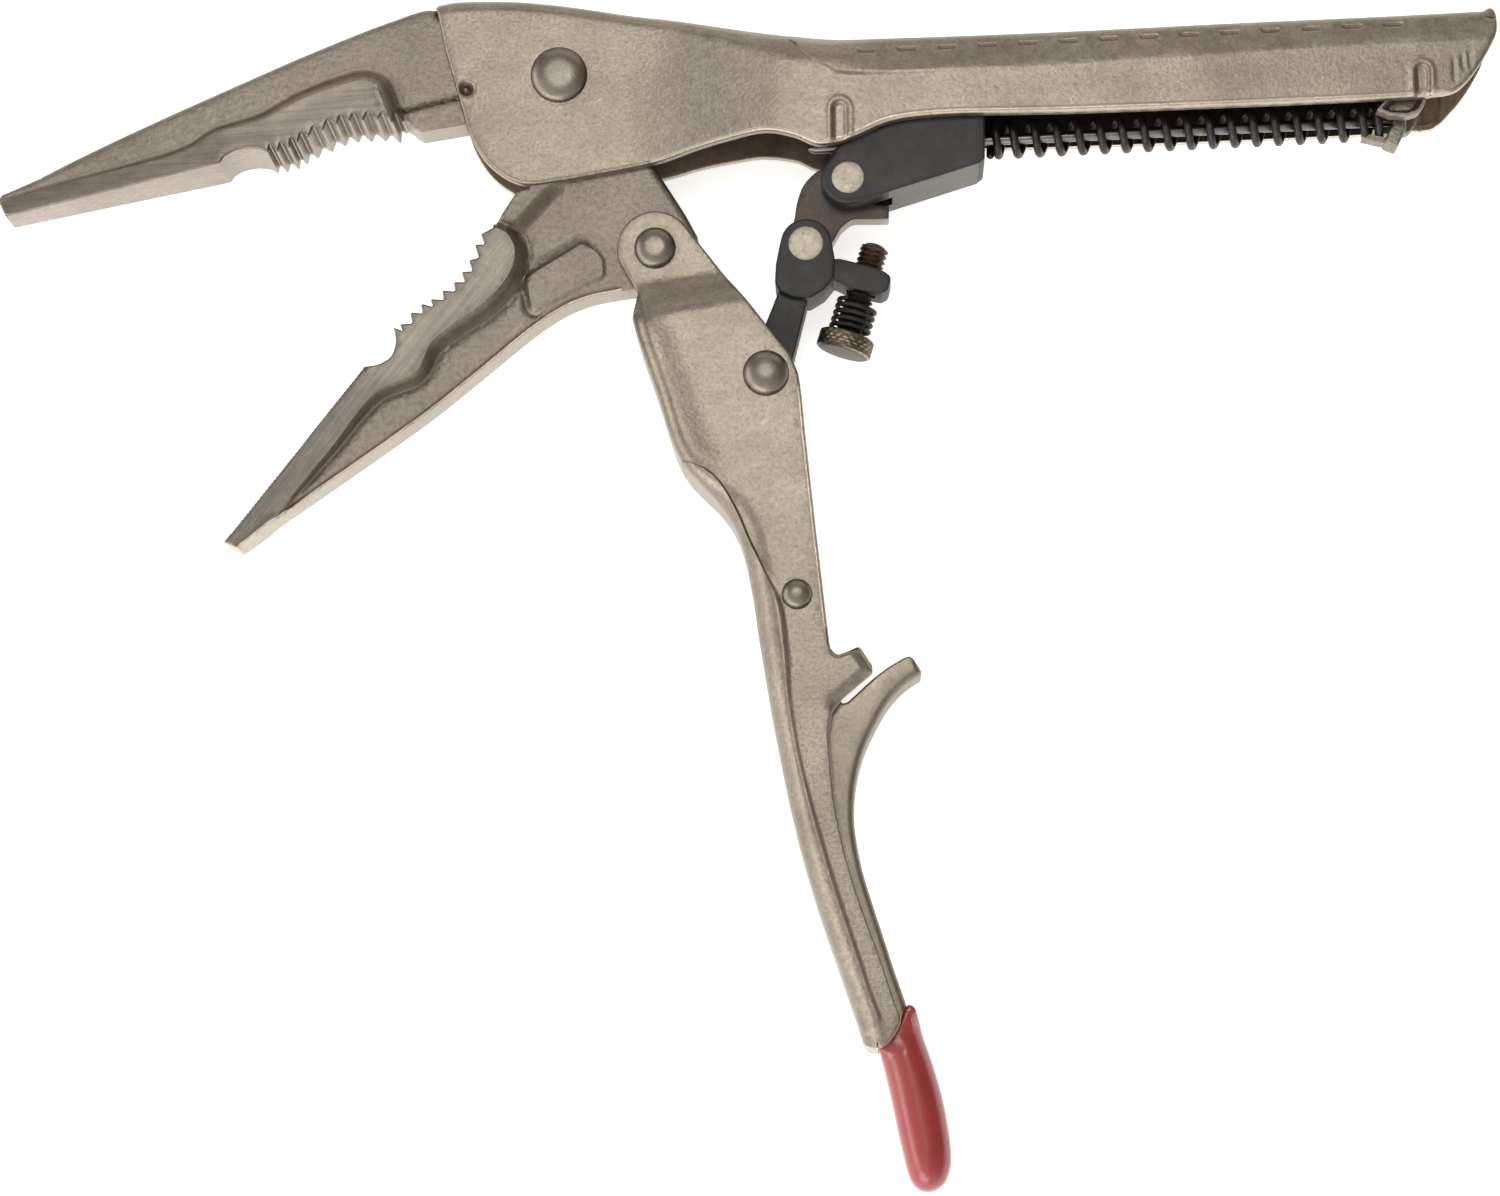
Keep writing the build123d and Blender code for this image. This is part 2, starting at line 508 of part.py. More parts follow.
with BuildPart() as release_lever:
    slab(LEV_OUT + LEV_IN, LEV_HALF)
    slab(LEV_HOLLOW, LEV_HALF - 1.4, Mode.SUBTRACT)
    disc(F, 2.2, LEV_HALF)
    slab([(4.5, 6.4), (6.2, 6.4), (6.9, 2.5), (4.2, 2.5)], 1.4)
    disc(F, 1.3 + PIN_GAP, 12, Mode.SUBTRACT)
    # narrower blade inside the dipped tail
    slab([(15.0, -52.9), (19.2, -51.6), (30.0, -56.0), (28.0, -76.0), (12.0, -76.0)], 8, Mode.SUBTRACT)
    slab([(16.35, -52.5), (18.95, -51.4), (20.3, -56.5), (21.1, -62.0), (21.1, -66.5), (20.4, -68.3), (19.7, -67.8),
          (18.7, -62.0), (17.2, -55.0)], 2.4)
release_lever.part.label = "release_lever"
export_step(release_lever.part, "parts/release_lever.step")

GRIP = [(19.00, -50.9), (20.56, -53.08), (22.27, -57.73), (23.17, -61.79), (23.37, -65.83), (22.88, -68.72),
        (21.9, -70.2), (21.01, -70.67), (19.9, -70.4), (19.3, -69.9), (18.47, -68.14), (17.56, -65.83),
        (16.66, -60.04), (15.75, -54.6), (16.2, -53.6)]
with BuildPart() as lever_grip:
    slab(GRIP, 4.1)
    fillet(lever_grip.edges().group_by(Axis.Z)[-1] + lever_grip.edges().group_by(Axis.Z)[0], radius=0.9)
    add(release_lever.part, mode=Mode.SUBTRACT)
lever_grip.part.label = "lever_grip"
export_step(lever_grip.part, "parts/lever_grip.step")
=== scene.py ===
import math

import bpy
import numpy as np
from mathutils import Matrix, Vector
from mathutils.geometry import delaunay_2d_cdt


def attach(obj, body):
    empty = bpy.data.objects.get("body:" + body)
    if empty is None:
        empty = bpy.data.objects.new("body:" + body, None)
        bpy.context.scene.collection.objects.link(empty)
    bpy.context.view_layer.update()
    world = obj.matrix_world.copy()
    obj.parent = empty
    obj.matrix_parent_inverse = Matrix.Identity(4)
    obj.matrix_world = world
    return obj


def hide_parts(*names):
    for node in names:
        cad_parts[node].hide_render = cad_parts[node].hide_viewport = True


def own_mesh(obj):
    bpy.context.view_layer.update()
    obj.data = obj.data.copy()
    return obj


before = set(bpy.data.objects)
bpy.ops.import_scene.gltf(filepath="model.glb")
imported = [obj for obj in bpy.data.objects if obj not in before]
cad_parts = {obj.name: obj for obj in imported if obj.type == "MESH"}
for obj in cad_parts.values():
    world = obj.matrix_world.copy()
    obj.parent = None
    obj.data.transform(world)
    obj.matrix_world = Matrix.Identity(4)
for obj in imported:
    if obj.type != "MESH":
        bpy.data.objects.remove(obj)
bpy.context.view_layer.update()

# ------------------------------------------------------------------ frame
# Shapes are written in tool millimetres: x to the right along the upper handle, y up,
# z from the middle plane towards the near side. SHIFT carries them to the part frame.
SHIFT = np.array((0.377, -1.455, 7.989))
MM = 0.001
A, B, C = (-23.16, 64.09), (-11.36, 42.23), (2.10, 26.18)
D, E, F = (6.87, 42.94), (11.99, 50.76), (5.75, -0.66)
ROD_A = math.radians(2.345)
ROD_D = np.array((math.cos(ROD_A), math.sin(ROD_A), 0.0))
ROD_O = np.array((7.09, 55.68, 0.0))
SCREW_D = np.array((0.2931, 0.9561, 0.0))
SCREW_O = np.array((15.34, 43.53, 0.0))


# ------------------------------------------------------------------ plane curves
def arr(p):
    return np.asarray(p, float)


def dense(pts, step):
    """Straight runs cut into pieces no longer than step."""
    p = arr(pts)
    out = [p[0]]
    for a, b in zip(p[:-1], p[1:]):
        n = max(1, int(math.ceil(np.hypot(*(b - a)) / step)))
        out += [a + (b - a) * k / n for k in range(1, n + 1)]
    return np.array(out)


def curve(pts, step):
    """Smooth line through points."""
    p = arr(pts)
    if len(p) == 2:
        return dense(p, step)
    q = np.vstack([2 * p[0] - p[1], p, 2 * p[-1] - p[-2]])
    out = [p[0]]
    for i in range(1, len(q) - 2):
        p0, p1, p2, p3 = q[i - 1:i + 3]
        t0 = 0.0
        t1 = t0 + np.hypot(*(p1 - p0)) ** 0.5
        t2 = t1 + np.hypot(*(p2 - p1)) ** 0.5
        t3 = t2 + np.hypot(*(p3 - p2)) ** 0.5
        n = max(2, int(math.ceil(np.hypot(*(p2 - p1)) / step)))
        for k in range(1, n + 1):
            t = t1 + (t2 - t1) * k / n
            a1 = (t1 - t) / (t1 - t0) * p0 + (t - t0) / (t1 - t0) * p1
            a2 = (t2 - t) / (t2 - t1) * p1 + (t - t1) / (t2 - t1) * p2
            a3 = (t3 - t) / (t3 - t2) * p2 + (t - t2) / (t3 - t2) * p3
            b1 = (t2 - t) / (t2 - t0) * a1 + (t - t0) / (t2 - t0) * a2
            b2 = (t3 - t) / (t3 - t1) * a2 + (t - t1) / (t3 - t1) * a3
            out.append((t2 - t) / (t2 - t1) * b1 + (t - t1) / (t2 - t1) * b2)
    return np.array(out)


def rounded(pts, r, step=0.4, closed=True):
    """Polygon with round corners. r is one radius or one per corner."""
    p = arr(pts)
    n = len(p)
    rr = [r] * n if np.isscalar(r) else list(r)
    out = []
    for i in range(n):
        if not closed and i in (0, n - 1):
            out.append(p[i])
            continue
        a, b, c = p[i - 1], p[i], p[(i + 1) % n]
        u, v = a - b, c - b
        lu, lv = np.hypot(*u), np.hypot(*v)
        u, v = u / lu, v / lv
        half = math.acos(max(-1, min(1, float(u @ v)))) / 2
        if rr[i] <= 0 or half > 1.54 or half < 0.02:
            out.append(b)
            continue
        t = min(rr[i] / math.tan(half), 0.48 * lu, 0.48 * lv)
        rad = t * math.tan(half)
        m = (u + v) / np.hypot(*(u + v))
        o = b + m * (rad / math.sin(half))
        s, e = b + u * t, b + v * t
        a0 = math.atan2(*(s - o)[::-1])
        a1 = math.atan2(*(e - o)[::-1])
        d = (a1 - a0 + math.pi) % (2 * math.pi) - math.pi
        k = max(3, int(abs(d) * rad / 0.16) + 2)
        out += [o + rad * np.array((math.cos(a0 + d * j / k), math.sin(a0 + d * j / k))) for j in range(k + 1)]
    out = np.array(out)
    if closed:
        out = dense(np.vstack([out, out[:1]]), step)[:-1]
    else:
        out = dense(out, step)
    return out


def circle(c, r, n=48):
    a = np.linspace(0, 2 * math.pi, n, endpoint=False)
    return np.c_[c[0] + r * np.cos(a), c[1] + r * np.sin(a)]


def arc(c, r, a0, a1, n=24):
    a = np.radians(np.linspace(a0, a1, n))
    return np.c_[c[0] + r * np.cos(a), c[1] + r * np.sin(a)]


def join(*lines):
    """Lines end to end, as one closed loop."""
    out = []
    for l in lines:
        for p in arr(l):
            if not out or np.hypot(*(p - out[-1])) > 0.02:
                out.append(p)
    while np.hypot(*(out[0] - out[-1])) < 0.02:
        out.pop()
    return np.array(out)


def ccw(l):
    x, y = l[:, 0], l[:, 1]
    s = np.sum(x * np.roll(y, -1) - np.roll(x, -1) * y)
    return l if s > 0 else l[::-1].copy()


def left(l, closed=True):
    """Unit normals to the left of a line."""
    if closed:
        t = np.roll(l, -1, 0) - np.roll(l, 1, 0)
    else:
        t = np.gradient(l, axis=0)
    t /= np.maximum(np.hypot(t[:, 0], t[:, 1]), 1e-9)[:, None]
    return np.c_[-t[:, 1], t[:, 0]]


def dist(p, line, closed=True):
    """Distance from points to a line."""
    a = line if closed else line[:-1]
    b = np.roll(line, -1, 0) if closed else line[1:]
    ab = b - a
    ll = np.maximum((ab ** 2).sum(1), 1e-12)
    out = np.empty(len(p))
    for i in range(0, len(p), 2000):
        q = p[i:i + 2000, None, :]
        t = np.clip(((q - a) * ab).sum(2) / ll, 0, 1)
        d = q - (a + t[..., None] * ab)
        out[i:i + 2000] = np.sqrt((d ** 2).sum(2).min(1))
    return out


def inside(p, loop):
    x, y = p[:, 0], p[:, 1]
    c = np.zeros(len(p), bool)
    ax, ay = loop[:, 0], loop[:, 1]
    bx, by = np.roll(ax, -1), np.roll(ay, -1)
    for i in range(len(loop)):
        if ay[i] == by[i]:
            continue
        cond = (ay[i] > y) != (by[i] > y)
        c ^= cond & (x < (bx[i] - ax[i]) * (y - ay[i]) / (by[i] - ay[i]) + ax[i])
    return c


def smooth(u):
    u = np.clip(u, 0, 1)
    return u * u * (3 - 2 * u)


def quarter(d, r):
    """Drop of a round edge of radius r, at distance d from the edge."""
    r = np.maximum(r, 1e-6)
    q = np.clip(d, 0, r)
    return r - np.sqrt(np.maximum(r * r - (r - q) ** 2, 0))


def signed(p, line, region):
    """Distance to a line, positive inside the region."""
    return np.where(inside(p, region), 1, -1) * dist(p, line, False)


def rows(line, offs, closed=False):
    n = left(line, closed)
    return np.vstack([line + n * o for o in offs])


def inward(line, loop):
    """Unit normals of an open line, towards the inside of a loop."""
    n = left(line, False)
    k = len(line) // 2
    if not inside((line[k] + n[k] * 0.3)[None], loop)[0]:
        n = -n
    return n


def off(line, n, o):
    """Line moved by o along its normals, without the loops that this makes at tight bends."""
    o = np.broadcast_to(np.asarray(o, float), (len(line),))
    p = line + n * o[:, None]
    return p[dist(p, line, False) > np.abs(o) - 0.03]


def patch(c, rx, ry, step, ang=0.0):
    """Points over an ellipse, for fine features."""
    g = np.mgrid[-rx:rx + 1e-6:step, -ry:ry + 1e-6:step].reshape(2, -1).T
    g = g[(g[:, 0] / rx) ** 2 + (g[:, 1] / ry) ** 2 <= 1.05]
    ca, sa = math.cos(ang), math.sin(ang)
    return np.c_[c[0] + g[:, 0] * ca - g[:, 1] * sa, c[1] + g[:, 0] * sa + g[:, 1] * ca]


# ------------------------------------------------------------------ meshes over a plane area
def thin(p, s):
    k = np.round(p / s).astype(np.int64)
    _, i = np.unique(k, axis=0, return_index=True)
    return p[np.sort(i)]


def hexgrid(lo, hi, g):
    ys = np.arange(lo[1], hi[1] + g, g * 0.866)
    out = []
    for k, y in enumerate(ys):
        xs = np.arange(lo[0] + (k % 2) * g / 2, hi[0] + g, g)
        out.append(np.c_[xs, np.full(len(xs), y)])
    return np.vstack(out)


def tri(loops, pts, lines=()):
    co, ed = [], []
    for l in loops:
        n, m = len(co), len(l)
        co += [tuple(q) for q in l]
        ed += [(n + i, n + (i + 1) % m) for i in range(m)]
    for l in lines:
        n, m = len(co), len(l)
        co += [tuple(q) for q in l]
        ed += [(n + i, n + i + 1) for i in range(m - 1)]
    co += [tuple(q) for q in pts]
    r = delaunay_2d_cdt([Vector(q) for q in co], ed, [], 0, 1e-4)
    v = np.array([(q.x, q.y) for q in r[0]])
    f = np.array([tuple(q) for q in r[2]])
    c = v[f].mean(1)
    keep = inside(c, loops[0])
    for h in loops[1:]:
        keep &= ~inside(c, h)
    a, b = v[f[:, 1]] - v[f[:, 0]], v[f[:, 2]] - v[f[:, 0]]
    area = a[:, 0] * b[:, 1] - a[:, 1] * b[:, 0]
    keep &= np.abs(area) > 1e-9
    f, area = f[keep], area[keep]
    f[area < 0] = f[area < 0][:, ::-1]
    used = np.unique(f)
    m = np.full(len(v), -1)
    m[used] = np.arange(len(used))
    return v[used], m[f]


def rim(f):
    e = np.vstack([f[:, [0, 1]], f[:, [1, 2]], f[:, [2, 0]]])
    s = {(int(a), int(b)) for a, b in e}
    return [(a, b) for a, b in s if (b, a) not in s]


def area_points(loops, ef, grid, rings, extra, clear=0.45, free=()):
    def alld(p):
        return np.min([dist(p, l) for l in loops], 0)

    def isin(p):
        k = inside(p, loops[0])
        for h in loops[1:]:
            k &= ~inside(p, h)
        return k
    good = []
    for l in loops:
        n, e = left(l), ef(l)
        for k in range(1, rings + 1):
            o = e * (1 - math.cos(math.pi / 2 * k / rings))
            p = l + n * o[:, None]
            good.append(p[isin(p) & (alld(p) > 0.85 * o)])
    for x in extra:
        good.append(x[isin(x) & (alld(x) > 0.1)])
    g = hexgrid(loops[0].min(0), loops[0].max(0), grid)
    ok = isin(g) & (alld(g) > ef(g) + clear * grid)
    for line, a in free:
        ok &= dist(g, line, False) > a
    good.append(g[ok])
    return good, alld


def plate(loops, top, edge=0.3, grid=0.8, rings=4, extra=(), bot=None, lines=(), free=()):
    """Solid between two height fields over an area, with round edges."""
    loops = [ccw(loops[0])] + [ccw(h)[::-1].copy() for h in loops[1:]]
    ef = edge if callable(edge) else (lambda p: np.full(len(p), float(edge)))
    tf = top if callable(top) else (lambda p: np.full(len(p), float(top)))
    good, alld = area_points(loops, ef, grid, rings, extra, free=free)
    q = thin(np.vstack(good), 0.07)
    for l in lines:
        q = q[dist(q, l, False) > 0.1]
    v, f = tri(loops, q, lines)
    drop = quarter(alld(v), ef(v))
    z1 = tf(v) - drop
    z0 = (bot(v) if bot else -tf(v)) + drop
    n = len(v)
    verts = np.vstack([np.c_[v, z1], np.c_[v, z0]])
    faces = [tuple(q) for q in f.tolist()] + [(c + n, b + n, a + n) for a, b, c in f.tolist()]
    sides = [(a, a + n, b + n, b) for a, b in rim(f)]
    tags = [0] * (2 * len(f)) + [1] * len(sides)
    return verts, faces + sides, tags


def shell(back, open_line, w, r, t, edge=0.3, grid=0.9, extra=(), disp=None, rings=6, holes=(), lines=(), free=(),
          far=None):
    """Folded sheet: two walls joined along the back line, the rest of the outline open.
    w is the half width, r the outer corner radius along the back, t the sheet."""
    loop = join(back, open_line)
    if np.allclose(ccw(loop)[0], loop[0]) is False:
        back, open_line = back[::-1].copy(), open_line[::-1].copy()
        loop = join(open_line, back)
    loop = ccw(loop)
    holes = [ccw(h)[::-1].copy() for h in holes]
    loops = [loop] + holes
    disp = disp or (lambda p: np.zeros(len(p)))
    nb = left(back, False)
    if not inside((back + nb * 1.0)[len(back) // 2][None], loop)[0]:
        nb = -nb
    extra = list(extra)
    rb = r(back)
    for k in range(1, rings + 1):
        extra.append(back + nb * (rb * (1 - math.cos(math.pi / 2 * k / rings)))[:, None])
    extra.append(back + nb * (rb + 0.5)[:, None])
    d0 = back[0] - back[1]
    d1 = back[-1] - back[-2]
    inner = back + nb * t
    inner = np.vstack([inner[0] + d0 / np.hypot(*d0) * 3, inner, inner[-1] + d1 / np.hypot(*d1) * 3])
    good, alld = area_points(loops, lambda p: np.full(len(p), edge), grid, 4, extra, free=free)
    p = thin(np.vstack(good), 0.1)
    for l in [inner] + list(lines):
        p = p[dist(p, l, False) > 0.1]
    v, f = tri(loops, p, [inner] + list(lines))
    band = np.vstack([back, inner[::-1]])
    ext = np.vstack([back[0] + d0 / np.hypot(*d0) * 3, back, back[-1] + d1 / np.hypot(*d1) * 3])
    band = np.vstack([ext, inner[::-1]])
    is_in = ~inside(v[f].mean(1), band)
    fi = f[is_in]
    db = dist(v, back, False)
    do = dist(v, open_line, False)
    for h in holes:
        do = np.minimum(do, dist(v, h))
    rv = r(v)
    base = w(v) + disp(v)
    zo = base - quarter(do, np.full(len(v), edge)) - quarter(db, rv)
    zi = base - t - quarter(np.maximum(db - t, 0), np.maximum(rv - t, 0.35)) + quarter(do, np.full(len(v), 0.12)) * 0.6
    zi = np.minimum(zi, zo - 0.25)
    n = len(v)
    vf = v.copy()
    if far:
        vf[:, 1] -= far(v)
    verts = np.vstack([np.c_[v, zo], np.c_[v, zi], np.c_[vf, -zo], np.c_[vf, -zi]])
    faces = [tuple(q) for q in f.tolist()]
    tags = [0] * len(faces)
    for q in fi.tolist():
        faces.append((q[2] + n, q[1] + n, q[0] + n)); tags.append(1)
    for q in f.tolist():
        faces.append((q[2] + 2 * n, q[1] + 2 * n, q[0] + 2 * n)); tags.append(0)
    for q in fi.tolist():
        faces.append((q[0] + 3 * n, q[1] + 3 * n, q[2] + 3 * n)); tags.append(1)
    ro, ri = rim(f), set(rim(fi))
    chain = {}
    mids = np.array([(v[a] + v[b]) / 2 for a, b in ro])
    on_back = dist(mids, back, False) < 1e-3
    for (a, b), ob in zip(ro, on_back):
        if ob:
            faces.append((a, a + 2 * n, b + 2 * n, b)); tags.append(0)
        elif (a, b) in ri:
            faces.append((a, a + n, b + n, b)); tags.append(2)
            faces.append((b + 2 * n, b + 3 * n, a + 3 * n, a + 2 * n)); tags.append(2)
            ri.discard((a, b))
        else:
            chain[a] = b
    for a, b in ri:
        faces.append((b + n, b + 3 * n, a + 3 * n, a + n)); tags.append(1)
    starts = set(chain) - set(chain.values())
    for s in starts:
        c = [s]
        while c[-1] in chain:
            c.append(chain[c[-1]])
        if db[c[0]] > db[c[-1]]:
            ring = c + [q + 2 * n for q in reversed(c)] + [c[0] + 3 * n, c[0] + n]
        else:
            ring = c + [c[-1] + n, c[-1] + 3 * n] + [q + 2 * n for q in reversed(c)]
        faces.append(tuple(reversed(ring))); tags.append(2)
    return verts, faces, tags


# ------------------------------------------------------------------ turned and wound pieces
def basis(o, d):
    d = arr(d) / np.linalg.norm(d)
    u = np.cross(d, (0, 0, 1.0))
    if np.linalg.norm(u) < 1e-6:
        u = np.array((1.0, 0, 0))
    u /= np.linalg.norm(u)
    return arr(o), d, u, np.cross(d, u)


def lathe(profile, o, d=(0, 0, 1), seg=56, rf=None):
    """Turned solid: profile of (radius, height) from end to end, both ends on the axis.
    rf(height, angle) may change the radius."""
    o, d, u, w = basis(o, d)
    pr = arr(profile)
    verts, faces = [], []
    ring = []
    for k, (r, h) in enumerate(pr):
        if r < 1e-9:
            ring.append([len(verts)])
            verts.append(o + d * h)
            continue
        ids = []
        for j in range(seg):
            a = 2 * math.pi * j / seg
            rr = r + (rf(h, a, r) if rf else 0.0)
            ids.append(len(verts))
            verts.append(o + d * h + (u * math.cos(a) + w * math.sin(a)) * rr)
        ring.append(ids)
    for p, q in zip(ring[:-1], ring[1:]):
        if len(p) == 1 and len(q) == 1:
            continue
        for j in range(seg):
            k = (j + 1) % seg
            if len(p) == 1:
                faces.append((p[0], q[k], q[j]))
            elif len(q) == 1:
                faces.append((p[j], p[k], q[0]))
            else:
                faces.append((p[j], p[k], q[k], q[j]))
    return np.array(verts), faces, [0] * len(faces)


def tube(path, r, seg=12):
    """Round wire along a path, with rounded ends."""
    p = arr(path)
    t = np.gradient(p, axis=0)
    t /= np.linalg.norm(t, axis=1)[:, None]
    n = np.cross(t[0], (0.3, 0.2, 1.0))
    n /= np.linalg.norm(n)
    verts, rings = [], []
    frames = []
    for i in range(len(p)):
        n = n - t[i] * (n @ t[i])
        n /= np.linalg.norm(n)
        frames.append((n.copy(), np.cross(t[i], n)))
    caps = [(-0.9, 0.45), (-0.6, 0.8)]
    stack = [(p[0] + t[0] * r * c, frames[0], r * s) for c, s in caps]
    stack += [(p[i], frames[i], r) for i in range(len(p))]
    stack += [(p[-1] - t[-1] * r * c, frames[-1], r * s) for c, s in reversed(caps)]
    for q, (a, b), rr in stack:
        ids = []
        for j in range(seg):
            x = 2 * math.pi * j / seg
            ids.append(len(verts))
            verts.append(q + (a * math.cos(x) + b * math.sin(x)) * rr)
        rings.append(ids)
    faces = []
    for u, w in zip(rings[:-1], rings[1:]):
        for j in range(seg):
            k = (j + 1) % seg
            faces.append((u[j], u[k], w[k], w[j]))
    faces.append(tuple(reversed(rings[0])))
    faces.append(tuple(rings[-1]))
    return np.array(verts), faces, [0] * len(faces)


def helix(o, d, r, s0, s1, turns, end_turns=1.0, wire=0.4, per=28, phase=0.0, lean=0.0):
    """Path of a compression spring with closed ends."""
    o, d, u, w = basis(o, d)
    n = int(turns * per)
    k = np.linspace(0, turns, n + 1)
    # pitch: close at both ends, even between
    pitch = np.ones(n + 1)
    pitch[k < end_turns] = 0.0
    pitch[k > turns - end_turns] = 0.0
    pitch = np.convolve(np.pad(pitch, 6, mode="edge"), np.ones(13) / 13, mode="valid")
    wire_p = 2 * wire * 1.04
    free = (s1 - s0) - wire_p * turns
    adv = wire_p / per + free * pitch / pitch[1:].sum()
    s = s0 + np.r_[0, np.cumsum(adv[1:])]
    s = s0 + (s - s0) * (s1 - s0) / (s[-1] - s0)
    a = 2 * math.pi * k + phase
    s = s - lean * (s1 - s0) / turns / (2 * math.pi) * np.sin(a - math.atan2(w[2], u[2])) * np.clip(np.minimum(k, turns - k) - 0.6, 0, 1)
    return o + d * s[:, None] + r * (u * np.cos(a)[:, None] + w * np.sin(a)[:, None])


# ------------------------------------------------------------------ materials
def nodes_of(name):
    m = bpy.data.materials.new(name)
    m.use_nodes = True
    nt = m.node_tree
    return m, nt, nt.nodes["Principled BSDF"]


def new(nt, kind, **kw):
    n = nt.nodes.new(kind)
    for k, v in kw.items():
        if k in n.bl_rna.properties:
            setattr(n, k, v)
        else:
            n.inputs[k.replace("_", " ")].default_value = v
    return n


def ramp(nt, src, stops):
    r = nt.nodes.new("ShaderNodeValToRGB")
    e = r.color_ramp.elements
    while len(e) < len(stops):
        e.new(0.5)
    for el, (p, c) in zip(e, stops):
        el.position = p
        el.color = (*c, 1) if not np.isscalar(c) else (c, c, c, 1)
    nt.links.new(src, r.inputs[0])
    return r.outputs[0]


def noise(nt, vec, scale, detail=3.0, rough=0.5, out=0):
    n = nt.nodes.new("ShaderNodeTexNoise")
    n.inputs["Scale"].default_value = scale
    n.inputs["Detail"].default_value = detail
    n.inputs["Roughness"].default_value = rough
    nt.links.new(vec, n.inputs["Vector"])
    return n.outputs[out]


def mix(nt, fac, a, b, kind="MIX"):
    m = nt.nodes.new("ShaderNodeMix")
    m.data_type = "RGBA"
    m.blend_type = kind
    for s, v in ((0, fac), (6, a), (7, b)):
        if hasattr(v, "is_linked"):
            nt.links.new(v, m.inputs[s])
        elif np.isscalar(v):
            m.inputs[s].default_value = v
        else:
            m.inputs[s].default_value = (*v, 1)
    return m.outputs[2]


def remap(nt, src, a, b, c=0.0, d=1.0):
    m = nt.nodes.new("ShaderNodeMapRange")
    for i, v in enumerate((a, b, c, d)):
        m.inputs[i + 1].default_value = v
    nt.links.new(src, m.inputs[0])
    return m.outputs[0]


def mapped(nt, rot=0.0, scale=(1, 1, 1)):
    t = nt.nodes.new("ShaderNodeTexCoord")
    m = nt.nodes.new("ShaderNodeMapping")
    m.vector_type = "TEXTURE"
    m.inputs["Rotation"].default_value = (0, 0, rot)
    m.inputs["Scale"].default_value = tuple(1.0 / k for k in scale)
    nt.links.new(t.outputs["Object"], m.inputs["Vector"])
    return m.outputs[0]


def bump(nt, bsdf, heights):
    """heights: list of (socket, distance in metres, strength)."""
    prev = None
    for h, dd, st in heights:
        b = nt.nodes.new("ShaderNodeBump")
        b.inputs["Distance"].default_value = dd
        b.inputs["Strength"].default_value = st
        nt.links.new(h, b.inputs["Height"])
        if prev:
            nt.links.new(prev, b.inputs["Normal"])
        prev = b.outputs[0]
    nt.links.new(prev, bsdf.inputs["Normal"])


def metal(name, dark, light, rough, metallic=1.0, blotch=120.0, grain=2600.0, grain_d=0.00003, grain_s=0.5,
          pits=0.0, pit_scale=1500.0, lines=None, line_s=0.4, mottle=420.0):
    m, nt, p = nodes_of(name)
    if metallic == 1.0:
        dark, light = (tuple(a * b for a, b in zip(c, (1.01, 0.983, 0.950))) for c in (dark, light))
    v = mapped(nt)
    big = noise(nt, v, blotch, 4, 0.6)
    mid = noise(nt, v, mottle, 5, 0.65)
    fine = noise(nt, v, grain, 3, 0.6)
    f = mix(nt, 0.5, big, mid)
    col = mix(nt, remap(nt, f, 0.35, 0.65), dark, light)
    col = mix(nt, remap(nt, fine, 0.34, 0.68, 0.0, 0.50), col, tuple(0.62 * c for c in dark))
    hs = [(fine, grain_d, grain_s)]
    if lines:
        lv = mapped(nt, lines[0], (lines[1], lines[2], lines[2]))
        ln = noise(nt, lv, 1.0, 4, 0.7)
        col = mix(nt, remap(nt, ln, 0.42, 0.62, 0.0, 0.45), col, tuple(0.55 * c for c in dark))
        hs.append((ln, 0.00003, line_s))
    if pits:
        sp = noise(nt, v, pit_scale, 2, 0.5)
        k = remap(nt, sp, 0.64, 0.70)
        col = mix(nt, remap(nt, k, 0, 1, 0.0, pits), col, tuple(0.3 * c for c in dark))
        hs.append((remap(nt, sp, 0.60, 0.72, 1.0, 0.0), 0.00005, 0.6 * pits))
    nt.links.new(col, p.inputs["Base Color"])
    nt.links.new(remap(nt, mid, 0.3, 0.7, rough[0], rough[1]), p.inputs["Roughness"])
    p.inputs["Metallic"].default_value = metallic
    bump(nt, p, hs)
    return m


NICKEL = metal("satin_nickel", (0.165, 0.147, 0.122), (0.262, 0.239, 0.203), (0.36, 0.47), pits=0.16, pit_scale=2700, grain=2300,
               grain_d=0.00005, grain_s=0.7, mottle=620)
# inside of the sheet: its own brown tone, made lighter than the outer nickel as painted light inside the channel
INSIDE_BROWN_LIT = metal("nickel_inside_brown_painted_light", (0.215, 0.170, 0.128), (0.300, 0.245, 0.190), (0.45, 0.58))
# painted shade: near-black inside of the channel, where the walls and the main spring shade it
INSIDE_SHADE = metal("channel_inside_painted_shade", (0.030, 0.024, 0.019), (0.055, 0.045, 0.036), (0.50, 0.62))
# painted highlight: very bright nickel for thin sheet edges that catch the light
EDGE_HIGHLIGHT = metal("edge_painted_highlight", (0.50, 0.45, 0.385), (0.64, 0.585, 0.51), (0.50, 0.62), metallic=0.55)
# painted highlight: lighter nickel for edges and bevels that face the light from below
RIM_HIGHLIGHT = metal("nickel_edge_painted_highlight", (0.30, 0.27, 0.23), (0.40, 0.36, 0.31), (0.34, 0.46), pits=0.3)
# painted shade: darker nickel laid into creases, grooves, bead outlines and dents
CREASE_SHADE = metal("nickel_crease_painted_shade", (0.125, 0.104, 0.083), (0.180, 0.153, 0.124), (0.45, 0.58))
